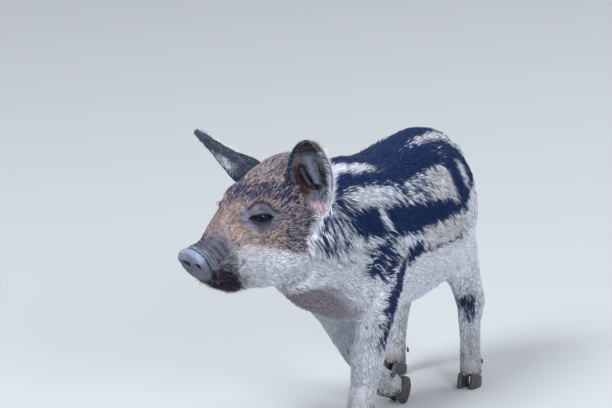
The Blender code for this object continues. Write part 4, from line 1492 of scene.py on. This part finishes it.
def face_trimmed(coat, points, head, share):
    """A coat thinned on the muzzle, longer at chin and jaw, and parted at the mouth."""
    length, width, lift, density = coat
    y, z = head[:, 1], head[:, 2]
    bare = bare_snout(points)
    density = density * (1 - share * ramp(0.35, 0.75, bare) * ramp(26, 17, to_disc(points)[:, 1]))
    muzzle = share * bare
    chin = share * ramp(-98, -106, y) * ramp(0, -10, z)
    jaw = share * ramp(2, -3, z - through(JAW_WHITE_TOP, y)) * ramp(-104, -96, y)
    density = density * (1 - 0.85 * muzzle) * (1 - 0.25 * jaw)
    density = density * (1 - share * ramp(1.8, 0.8, mouth_gap(head)))
    return (length + 2.2 * chin + 1.8 * jaw, width * (1 - 0.3 * muzzle), lift + 12 * chin - 5 * jaw, density)


def eyes_trimmed(coat, points):
    """A coat shorter and thinner round the eyes, and none on the lids' margins."""
    length, width, lift, density = coat
    for side in (1, -1):
        local = to_eye(points, side)
        gap, _ = past_lid(local)
        near = ramp(-9, -6, local[:, 0]) * ramp(26, 20, np.linalg.norm(local, axis=1))
        density = density * (1 - near * ramp(3.8, 2.6, gap)) * (1 - 0.62 * near * ramp(11, 6.5, gap))
        length = length * (1 - 0.45 * near * ramp(12, 5, gap))
        width = width * (1 - 0.25 * near * ramp(8, 3, gap))
    return length, width, lift, density


def coat_measures(points, region):
    """Length, width and lift of a tuft and tufts to a square mm, at each place."""
    z = points[:, 2]
    head, ear = to_head(points), region["ear_places"]
    coat = blended(trunk_coat(points), leg_coat(z), region["leg"])
    coat = blended(coat, face_coat(head[:, 1], head[:, 2]), region["head"])
    coat = face_trimmed(coat, points, head, region["head"])
    length, width, lift, density = blended(coat, ear_coat(ear), region["ear"])
    canal = np.minimum(on_ear_wall(*ear[1:3], EAR_SLIT), on_ear_wall(*ear[1:3], EAR_TRAGUS))
    density = density * (1 - region["ear"] * (1 - ramp(-0.5, 0.5, ear[5])) * ramp(4.6, 3.2, canal))
    length, width, lift, density = eyes_trimmed((length, width, lift, density), points)
    length = toward(length, 6 + 7 * ramp(0.6, 1.0, region["tail_run"]), region["tail"])
    width = toward(width, 0.5, region["tail"])
    density = toward(density, 1.3, region["tail"]) * ramp(1.0, 2.5, z)
    return length, width, lift, density


def scattered(mesh, density_at, rng):
    """Roots spread over the skin to a density: places, normals."""
    mesh.calc_loop_triangles()
    corners = read_rows(mesh.loop_triangles, "vertices", 3, np.int32)
    points, normals = to_body(read_points(mesh)), read_normals(mesh)
    density = density_at(points)[corners].mean(1)
    a, b, c = (points[corners[:, i]] for i in range(3))
    wanted = np.linalg.norm(np.cross(b - a, c - a), axis=1) / 2 * density
    count = np.floor(wanted + rng.random(len(wanted))).astype(int)
    face = np.repeat(np.arange(len(corners)), count)
    u, v = rng.random((2, len(face)))
    flip = u + v > 1
    u, v = np.where(flip, 1 - u, u), np.where(flip, 1 - v, v)
    chosen = corners[face]

    def at_roots(values):
        return sum(values[chosen[:, i]] * part[:, None] for i, part in enumerate((1 - u - v, u, v)))

    return at_roots(points), unit(at_roots(normals))


# A tuft's faces; its corners' places on the bake map, from -1 to 1; and how bright each corner is, as painted
# shade that darkens the root, where the hairs shade each other, and lightens the tip. A bent tuft has three
# corners at the root, three half way and the tip. A short one has no middle.
BENT = (
    ((0, 2, 1), (0, 1, 4), (0, 4, 3), (1, 2, 5), (1, 5, 4),
     (2, 0, 3), (2, 3, 5), (3, 4, 6), (4, 5, 6), (5, 3, 6)),
    ((-1, -1), (1, -1), (0, -1), (-1, 0), (1, 0), (0, 0), (0, 1)),
    (0.7, 0.7, 0.78, 0.96, 0.96, 1.02, 1.1))
SHORT = (
    ((0, 2, 1), (0, 1, 3), (1, 2, 3), (2, 0, 3)),
    ((-1, -1), (1, -1), (0, -1), (0, 1)),
    (0.82, 0.82, 0.9, 1.1))


def tuft_mesh(name, tufts, charts, short):
    """One mesh of solid tufts with their colours and bake map."""
    root, up, way, reach = tufts["root"], tufts["up"], tufts["way"], tufts["reach"]
    side = unit(np.cross(up, way))
    half = tufts["width"][:, None] / 2
    start = root - up * ROOT_DEPTH
    thick = up * tufts["width"][:, None] * TUFT_THICKNESS
    if short:
        corners = np.stack((start - side * half, start + side * half, start + thick, reach), axis=1)
    else:
        middle = tufts["middle"]
        corners = np.stack((start - side * half * 0.8, start + side * half * 0.8, start + thick * 0.8,
                            middle - side * half, middle + side * half, middle + thick, reach), axis=1)
    faces, spots, tone = (np.array(part) for part in (SHORT if short else BENT))
    count, per = len(root), corners.shape[1]
    loops = (np.arange(count)[:, None, None] * per + faces).reshape(-1)
    mesh = bpy.data.meshes.new(name)
    mesh.vertices.add(count * per)
    mesh.loops.add(len(loops))
    mesh.polygons.add(len(loops) // 3)
    mesh.loops.foreach_set("vertex_index", loops.astype(np.int32))
    mesh.polygons.foreach_set("loop_start", np.arange(0, len(loops), 3, dtype=np.int32))
    mesh.polygons.foreach_set("loop_total", np.full(len(loops) // 3, 3, np.int32))
    mesh.vertices.foreach_set("co", to_model(corners.reshape(-1, 3)).astype(np.float32).ravel())
    mesh.update(calc_edges=True)
    # each corner's brightness darkens the tuft towards its root: painted shade among the hairs, lightest at
    # the tip
    colour = tufts["colour"][:, None, :] * tone[None, :, None]
    paint(mesh, np.clip(colour, 0, 1).reshape(-1, 3))
    low, high = charts.min(0), charts.max(0)
    spread = 0.01 + 0.98 * (charts - low) / np.maximum(high - low, 1e-6)
    places = np.clip(spread[:, None, :] + spots[None] * PATCH / 2, 0.0005, 0.9995).reshape(-1, 2)
    layer = mesh.uv_layers.new(name="OFBake")
    layer.data.foreach_set("uv", places[loops].astype(np.float32).ravel())
    shade_smooth(mesh)
    return mesh


def bent(roots, way, ups, length, first, last):
    """The middles and tips of hairs that leave the skin at one angle and end at another."""
    half = length[:, None] / 2
    middle = roots + half * (way * np.cos(first)[:, None] + ups * np.sin(first)[:, None])
    return middle, middle + half * (way * np.cos(last)[:, None] + ups * np.sin(last)[:, None])


def grown(roots, ups, region, hues, rng):
    """Shape and colour of the tuft at each root."""
    way = lie_of_coat(roots, ups, region)
    length, width, lift, _ = coat_measures(roots, region)
    count = len(roots)
    jitter = rng.normal(0, 1, (count, 4))
    length = length * np.clip(1 + 0.18 * jitter[:, 0], 0.55, 1.5)
    width = width * np.clip(1 + 0.15 * jitter[:, 1], 0.6, 1.5)
    stray = rng.random(count) < STRAY_SHARE
    lift = np.radians(np.clip(lift + 3 * jitter[:, 2] + 9 * stray, 2, 60))
    side = unit(np.cross(ups, way))
    swerve = np.radians(7) * jitter[:, 3]
    way = unit(way * np.cos(swerve)[:, None] + side * np.sin(swerve)[:, None])
    middle, reach = bent(roots, way, ups, length, lift + np.radians(7), lift - np.radians(9))
    # tufts lean together into locks, each lock about a dozen tufts
    leaders = np.flatnonzero(rng.random(count) < LEADER_SHARE)
    found, gap = nearest(roots, roots[leaders])
    lead = leaders[found]
    alike = ramp(0.55, 0.85, dots(way, way[lead])) * ramp(7, 3, gap)
    pull = 0.5 * alike * (1 - 0.6 * region["head"]) * (1 - region["ear"]) * (1 - 0.75 * region["leg"])
    apart = roots - roots[lead]
    reach = mixed(reach, reach[lead] + apart * 0.25, pull)
    middle = mixed(middle, middle[lead] + apart * 0.6, pull * 0.4)
    # each tuft is dark or pale, by chance, to the share of its place, and a lock is mostly one of them
    dark, pale, share = markings(roots, region, hues)
    chance = rng.random(count)
    chance = toward(chance, chance[lead], 0.45 * (rng.random(count) < 0.6 * (1 - region["head"])))
    blend = ramp(-0.16, 0.16, share * 1.32 - 0.16 - chance)
    colour = mixed(dark, pale, blend * 0.92 + 0.08 * share)
    ring, fold, _ = eye_ring(roots)
    # the hair in the folds round the eyes is darkened as painted shade, like the skin under it
    colour = laid(
        colour, hues,
        ("sparse", throat(roots) * (1 - region["head"]) * 0.7, 1),
        ("lavender", ring * 0.7, 0.9 + 0.5 * rng.random(count)),
        ("crease", fold * 0.8, 1))
    colour = colour * np.clip(1 + (0.1 + 0.05 * region["leg"]) * rng.normal(0, 1, count), 0.6, 1.4)[:, None]
    return {"root": roots, "up": ups, "way": way, "middle": middle, "reach": reach, "width": width,
            "colour": colour}


# ---- charts, which unroll the skin for the bake map ----

def unrolled(across, up, along):
    """An angle about a line against the way along it."""
    return np.stack((np.degrees(np.arctan2(across, up)), along), axis=1)


def head_chart(points):
    """The head unrolled about the line from snout to poll."""
    x, y, z = to_head(points).T
    return unrolled(x, z + 4, y)


def limb_chart(points):
    """Each leg unrolled about a line of its own, in a quarter of the map."""
    x, y, z = points.T
    fore = y < 50
    left = x > np.where(fore, 5 - 0.12 * (z - 20), 0)
    centre_x = np.where(fore, np.where(left, 19, -8), np.where(left, 36, -39))
    centre_y = np.where(fore, np.where(left, -88, -20), np.where(left, 98, 108))
    return unrolled(x - centre_x, y - centre_y, z + 120 * fore) + np.stack((380 * left, 0 * left), axis=1)


def ear_chart(ear):
    """Each ear's front and back laid flat, side by side."""
    which, share, edge, _, _, facing = ear
    return np.stack((edge + 2.3 * (which > 0), share + 1.2 * (facing > 0)), axis=1)


def coat_pieces(points, region):
    """Each piece of the coat: its name, which tufts are in it, their chart, and whether they are short."""
    x, y, z = points.T
    head_x, head_y, _ = to_head(points).T
    angle = around_trunk(points)
    side = np.abs(angle)
    is_ear, is_tail = region["ear"] > 0.5, region["tail"] > 0.5
    is_head = (region["head"] > 0.5) & ~is_ear
    is_leg = (region["leg"] > 0.5) & ~is_head & ~is_ear & ~is_tail
    rest = ~(is_ear | is_tail | is_head | is_leg)
    neck = rest & (y < NECK_END)
    trunk = rest & ~neck
    fore, muzzle, shin = y < 50, is_head & (head_y < MUZZLE_START), is_leg & (z < SHIN_TOP)
    flank, belly, face = trunk & (side >= SPINE_EDGE), trunk & (side >= FLANK_EDGE), is_head & ~muzzle
    back = unrolled(x, z - TRUNK_AXIS_HEIGHT, y)
    under = unrolled(x, TRUNK_AXIS_HEIGHT - z, y)
    leg, front = limb_chart(points), head_chart(points)
    return (
        ("coat_spine", trunk & ~flank, back, False),
        ("coat_flank_left", flank & ~belly & (angle > 0), back, False),
        ("coat_flank_right", flank & ~belly & (angle < 0), back, False),
        ("coat_belly_left", belly & (x >= 0), under, False),
        ("coat_belly_right", belly & (x < 0), under, False),
        ("coat_neck", neck, back, False),
        ("coat_forelegs", is_leg & fore & ~shin, leg, False),
        ("coat_hindlegs", is_leg & ~fore & ~shin, leg, False),
        ("coat_shins", shin, leg, False),
        ("coat_tail", is_tail, unrolled(x, y - TAIL_MIDDLE, z), False),
        ("coat_ears", is_ear, ear_chart(region["ear_places"]), True),
        ("coat_muzzle", muzzle, front, True),
        ("coat_face_left", face & (head_x >= 0), front, False),
        ("coat_face_right", face & (head_x < 0), front, False))


def plant_coat(thing, hues):
    """All the tufts, in a piece for each part of the coat."""
    rng = np.random.default_rng(SEED)

    def density_at(points):
        return coat_measures(points, regions(points))[3]

    roots, ups = scattered(thing.data, density_at, rng)
    region = regions(roots)
    tufts = grown(roots, ups, region, hues, rng)
    bristle = hair_material()
    for name, mask, chart, short in coat_pieces(roots, region):
        chosen = {key: value[mask] for key, value in tufts.items()}
        made = link(name, tuft_mesh(name, chosen, chart[mask], short))
        made.data.materials.append(bristle)
        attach(made, "root")


# ---- lashes and bristles ----

def lash_roots(rng):
    """Places, ways and ups of the lashes along each upper lid."""
    rows = []
    for side in (1, -1):
        centre, axes = eye_frame(side)
        for place in np.linspace(-0.7, 0.95, LASHES):
            along = place * LID_HALF_LENGTH
            upper, _, _ = lid_edges(np.array([along]))
            reach = math.sqrt(max((EYE_RADIUS * LID_CLEARANCE) ** 2 - along ** 2, 4.0)) + 0.9
            way = axes @ np.array((0.9, 0.15 + 0.5 * place, -0.25 + 0.15 * rng.normal()))
            root = centre + axes @ np.array((reach, along, upper[0] + 0.8))
            rows.append((root, way, axes @ np.array((0.1, 0, 1.0))))
    return [np.array(column) for column in zip(*rows)]


def plant_bristles(thing, hues):
    """Lashes, and the stiff single hairs of the muzzle and chin."""
    rng = np.random.default_rng(SEED + 1)

    def density_at(points):
        _, y, z = to_head(points).T
        muzzle = ramp(-88, -98, y) * ramp(8, 2, z) * ramp(0.6, 0.3, bare_snout(points))
        snout = ramp(-96, -104, y) * ramp(8.5, 10.5, to_disc(points)[:, 1]) * ramp(-8, 0, z)
        return regions(points)["head"] * np.maximum(0.4 * muzzle, 0.03 * snout)

    roots, ups = scattered(thing.data, density_at, rng)
    count = len(roots)
    head = to_head(roots)
    low = ramp(8, 2, head[:, 2])
    share = head_markings(roots, hues)[2]
    is_grey = rng.random(count) < share * 0.5 + 0.06
    colour = np.where(is_grey[:, None], hues["grey"], hues["brown"] * 0.4)
    way = np.stack((0.35 * np.sign(head[:, 0]), 0.9 + 0 * low, -0.1 - 0.6 * low), axis=1)
    way = along_skin((way + 0.2 * rng.normal(0, 1, head.shape)) @ HEAD_TURN.T, ups)
    lift = np.radians(24 + 14 * low + 6 * rng.normal(0, 1, count))
    length = 2.4 + low * (2.2 + 1.4 * rng.random(count))
    middle, reach = bent(roots, way, ups, length, lift * 1.15, lift * 0.75)
    lash_root, lash_way, lash_up = lash_roots(rng)
    half = (LASH_LENGTH + 0.4 * rng.normal(0, 1, len(lash_root)))[:, None] / 2
    lash_middle = lash_root + half * unit(lash_way)
    lash_reach = lash_middle + half * unit(lash_way + 0.3 * lash_up)
    tufts = {
        "root": np.vstack((roots, lash_root)),
        "up": np.vstack((ups, unit(lash_up))),
        "way": np.vstack((way, unit(lash_way))),
        "middle": np.vstack((middle, lash_middle)),
        "reach": np.vstack((reach, lash_reach)),
        "width": np.concatenate((0.24 - 0.08 * rng.random(count), np.full(len(lash_root), LASH_WIDTH))),
        "colour": np.vstack((colour, np.broadcast_to(hues["lid"], lash_root.shape))),
    }
    made = link("coat_bristles", tuft_mesh("coat_bristles", tufts, head_chart(tufts["root"]), False))
    made.data.materials.append(hair_material())
    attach(made, "root")


# ---- eyes ----

def build_eye(side, hues):
    """An eyeball with a low cornea, modelled at the pole of a sphere and turned to look out."""
    name = "left" if side > 0 else "right"
    centre, axes = eye_frame(side)
    eye = sphere(64, 48, EYE_RADIUS)
    eye.name = f"eyeball_{name}"
    eye.data.name = eye.name
    points = read_points(eye.data)
    out = points[:, 2] / EYE_RADIUS
    ring = np.hypot(points[:, 0], points[:, 1])
    cornea = ramp(5.4, 3.6, ring) * (out > 0)
    points *= (1 + CORNEA_RISE * cornea)[:, None]
    round_iris = np.arctan2(points[:, 1], points[:, 0])
    fibres = 0.85 + 0.25 * grain(np.stack((round_iris * 9, ring * 0.4, out), axis=1), 1.0, 80)
    pupil = np.hypot(points[:, 0] / PUPIL_SIZE[0], points[:, 1] / PUPIL_SIZE[1])
    # the iris is nearly black; its blue tint is a painted reflection of the sky
    colour = laid(
        hues["iris"] * fibres[:, None], hues,
        ("pupil", ramp(1.15, 0.95, pupil), 1),
        ("pupil", ramp(4.6, 5.2, ring), 1),
        ("eye_white", ramp(6.4, 7.0, ring) + (out < 0), 1))
    # the pole looks out, and the pupil lies along the slit
    local = np.stack((points[:, 2], points[:, 0], points[:, 1]), axis=1)
    write_points(eye.data, to_model(centre + local @ axes.T))
    paint(eye.data, colour)
    if np.linalg.det(axes) < 0:
        eye.data.flip_normals()
    shade_smooth(eye.data)
    eye.data.materials.append(eye_material())
    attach(eye, "root")
    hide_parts(f"eye_{name}")


# ---- feet ----

def build_claws(leg, horn):
    """The two hooves and two dewclaws of a leg: their solids rounded, with rings of growth."""
    names = [f"{leg}_{part}_{side}" for part in ("hoof", "dewclaw") for side in ("left", "right")]
    claws = remeshed(joined(f"claws_{leg}", [node_copy(name) for name in names]), CLAW_GRAIN)
    mesh = claws.data
    points = to_body(read_points(mesh))
    floor = points[:, 2].min()
    flat = ramp(0.9, 0.3, points[:, 2] - floor)
    smooth = relaxed(points, read_edges(mesh), CLAW_ROUNDS)
    smooth = relaxed(smooth, read_edges(mesh), CLAW_WEAR_ROUNDS, keep_size=False)
    smooth[:, 2] = np.where(flat > 0.5, points[:, 2], smooth[:, 2])
    write_points(mesh, to_model(smooth))
    turns = smooth[:, 2] * 2 * math.pi / RING_STEP + 1.5 * grain(smooth, 5, 90)
    rings = RING_DEPTH * np.sin(turns) + 0.06 * grain(smooth, 1.6, 91)
    smooth = smooth + read_normals(mesh) * (rings * (1 - flat) - CLAW_INSET)[:, None]
    smooth[:, 2] = np.maximum(smooth[:, 2], floor)
    write_points(mesh, to_model(smooth))
    shade_smooth(mesh)
    mesh.materials.clear()
    mesh.materials.append(horn)
    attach(claws, "root")
    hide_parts(*names)


# ---- the studio ----

def build_stage(view):
    """The floor, the camera, the lights and the sky."""
    scene = bpy.context.scene
    bpy.ops.object.select_all(action="DESELECT")
    bpy.ops.mesh.primitive_circle_add(vertices=96, radius=FLOOR_RADIUS, fill_type="NGON", location=(0, 0, 0))
    floor = bpy.context.object
    floor.name = "studio_floor_sheet"
    floor.data.materials.append(floor_material(tuple(view.floor)))
    azimuth, elevation = math.radians(view.azimuth), math.radians(view.elevation)
    back = Vector((math.sin(azimuth) * math.cos(elevation), -math.cos(azimuth) * math.cos(elevation),
                   math.sin(elevation)))
    target = Vector(to_model(CAMERA_TARGET))
    camera = link("camera", bpy.data.cameras.new("camera"))
    camera.location = target + back * view.distance
    camera.rotation_euler = back.to_track_quat("Z", "Y").to_euler()
    camera.data.sensor_width = 36
    camera.data.lens = view.lens
    scene.camera = camera
    for name, place, size, power in LIGHTS:
        lamp = bpy.data.lights.new(name, "AREA")
        lamp.size = size
        lamp.energy = power
        lamp.color = LIGHT_COLOUR
        light = link(name, lamp)
        light.location = place
        light.rotation_euler = (Vector(place) - Vector(LIT_PLACE)).to_track_quat("Z", "Y").to_euler()
    scene.world = bpy.data.worlds.new("studio")
    scene.world.use_nodes = True
    sky = scene.world.node_tree.nodes["Background"].inputs
    sky["Color"].default_value = SKY_COLOUR
    sky["Strength"].default_value = SKY_STRENGTH
    scene.view_settings.view_transform = "Standard"


# ---- the add-on ----

def colour_property(name, hex_colour, description):
    """A colour of the panel, given in sRGB."""
    return bpy.props.FloatVectorProperty(
        name=name, description=description, default=linear(hex_colour), subtype="COLOR", size=3, min=0, max=1)


class PigletHues(bpy.types.PropertyGroup):
    """Colours of hair, skin, horn and eye."""
    # the dark hair is near black; its navy blue is a painted sheen, the sky's reflection laid into its base
    # colour
    dark: colour_property("Dark hair", "#092a5d", "Navy-black hair of the dark stripes")
    white: colour_property("White hair", "#dfe3ee", "Cool white hair of the stripes, jaw and belly")
    tan_white: colour_property("Tan-white hair", "#d2cdcd", "Duller pale hair of the rear flank")
    tan: colour_property("Tan hair", "#c3a99c", "Warm hair of the face")
    grey_tan: colour_property("Grey-tan hair", "#a39caa", "Cooler hair of the crown and cheek")
    brown: colour_property("Brown hair", "#322936", "Dark brown hair of the face and chin")
    cream: colour_property("Cream hair", "#cdcacb", "Warmer white along the jaw")
    grey: colour_property("Grey hair", "#a5a9b8", "Hair of the whisker pad and the stiff single hairs")
    dusty: colour_property("Dusty hair", "#b5b0af", "Pale leg hair with dust in it")
    sparse: colour_property("Sparse hair", "#716470", "Thin hair over the throat's pink skin")
    skin_dark: colour_property("Dark skin", "#3d414e", "Skin under dark hair")
    throat: colour_property("Throat skin", "#5f4c59", "Mauve skin that shows under the neck")
    skin_pink: colour_property("Pink skin", "#a58b93", "Skin under pale hair")
    slate: colour_property("Slate skin", "#5d6577", "Bare skin of the snout")
    purple: colour_property("Purple skin", "#322d3e", "Thinly haired skin of the muzzle")
    lavender: colour_property("Lavender skin", "#5c5a74", "Thinly haired skin round the eye")
    # painted shade: the near-black laid into the snout's wrinkles, the nostrils, the mouth's line, the folds
    # round the eyes and the ear's crease and slit
    crease: colour_property("Crease", "#15141c", "Deep folds and the mouth's line")
    lid: colour_property("Lid margin", "#0c0c12", "Dark margin of the lids")
    ear_red: colour_property("Canal red", "#4e2022", "Red-brown skin in the ear and at the mouth's corner")
    ear_brown: colour_property("Ear brown", "#61544f", "Front wall inside the ear")
    ear_pink: colour_property("Ear pink", "#c0a5b4", "Pink skin of the ear's lower lobe")
    ear_lilac: colour_property("Ear lilac", "#646a7e", "Rear wall inside the ear")
    horn: colour_property("Horn", "#3c383b", "Hooves and dewclaws")
    # the iris is nearly black; its blue tint is a painted reflection of the sky
    iris: colour_property("Iris", "#0e1431", "Iris, nearly black")
    pupil: colour_property("Pupil", "#040406", "Pupil and rim of the iris")
    eye_white: colour_property("Sclera", "#2a2326", "The little that shows of the white, brown-stained")


class PigletView(bpy.types.PropertyGroup):
    """The studio's camera and floor."""
    azimuth: bpy.props.FloatProperty(
        name="Azimuth", description="Camera's turn from the piglet's front, degrees", default=26.0)
    elevation: bpy.props.FloatProperty(
        name="Elevation", description="Camera's height above level, degrees", default=11.8)
    distance: bpy.props.FloatProperty(
        name="Distance", description="Camera to the point it looks at", default=3.5,
        unit="LENGTH", subtype="DISTANCE")
    lens: bpy.props.FloatProperty(
        name="Lens", description="Focal length, mm, on a 36 mm sensor", default=238.9)
    floor: colour_property("Floor", "#b9bbbd", "Pale studio floor")


def hues_of(scene):
    """Each colour of the panel as a row of linear numbers."""
    group = scene.piglet_hues
    return {name: np.array([getattr(group, name)]) for name in PigletHues.__annotations__}


def built_skin():
    """The skin that the hair stands on."""
    thing = bpy.data.objects.get("piglet_skin")
    if thing is None:
        raise RuntimeError("the coat and the bristles need the skin first")
    return thing


class PIGLET_OT_skin(bpy.types.Operator):
    """Build the one skin that stands for all the flesh"""
    bl_idname = "piglet.skin"
    bl_label = "Skin"

    def execute(self, context):
        build_skin(hues_of(context.scene))
        return {"FINISHED"}


class PIGLET_OT_eyes(bpy.types.Operator):
    """Build both eyes"""
    bl_idname = "piglet.eyes"
    bl_label = "Eyes"

    def execute(self, context):
        for side in (1, -1):
            build_eye(side, hues_of(context.scene))
        return {"FINISHED"}


class PIGLET_OT_claws(bpy.types.Operator):
    """Build the hooves and dewclaws"""
    bl_idname = "piglet.claws"
    bl_label = "Hooves and dewclaws"

    def execute(self, context):
        horn = horn_material(tuple(context.scene.piglet_hues.horn))
        for leg in LEGS:
            build_claws(leg, horn)
        return {"FINISHED"}


class PIGLET_OT_coat(bpy.types.Operator):
    """Plant the coat on the skin"""
    bl_idname = "piglet.coat"
    bl_label = "Coat"

    def execute(self, context):
        plant_coat(built_skin(), hues_of(context.scene))
        return {"FINISHED"}


class PIGLET_OT_bristles(bpy.types.Operator):
    """Plant the lashes and the bristles of the muzzle"""
    bl_idname = "piglet.bristles"
    bl_label = "Lashes and bristles"

    def execute(self, context):
        plant_bristles(built_skin(), hues_of(context.scene))
        return {"FINISHED"}


class PIGLET_OT_stage(bpy.types.Operator):
    """Build the floor, lights and camera"""
    bl_idname = "piglet.stage"
    bl_label = "Studio"

    def execute(self, context):
        build_stage(context.scene.piglet_view)
        return {"FINISHED"}


OPERATORS = (
    PIGLET_OT_skin, PIGLET_OT_eyes, PIGLET_OT_claws, PIGLET_OT_coat, PIGLET_OT_bristles, PIGLET_OT_stage)


class PIGLET_PT_panel(bpy.types.Panel):
    """The piglet's pieces, in the order that they are built"""
    bl_label = "Piglet"
    bl_idname = "PIGLET_PT_panel"
    bl_space_type = "VIEW_3D"
    bl_region_type = "UI"
    bl_category = "Piglet"

    def draw(self, context):
        for operator in OPERATORS:
            self.layout.operator(operator.bl_idname)
        for group in (context.scene.piglet_hues, context.scene.piglet_view):
            for name in type(group).__annotations__:
                self.layout.prop(group, name)


CLASSES = (PigletHues, PigletView, *OPERATORS, PIGLET_PT_panel)


def register():
    for item in CLASSES:
        bpy.utils.register_class(item)
    bpy.types.Scene.piglet_hues = bpy.props.PointerProperty(type=PigletHues)
    bpy.types.Scene.piglet_view = bpy.props.PointerProperty(type=PigletView)


def unregister():
    del bpy.types.Scene.piglet_view
    del bpy.types.Scene.piglet_hues
    for item in reversed(CLASSES):
        bpy.utils.unregister_class(item)


def main():
    register()
    bpy.ops.piglet.stage()
    bpy.ops.piglet.skin()
    bpy.ops.piglet.eyes()
    bpy.ops.piglet.claws()
    bpy.ops.piglet.coat()
    bpy.ops.piglet.bristles()


if __name__ == "__main__":
    main()
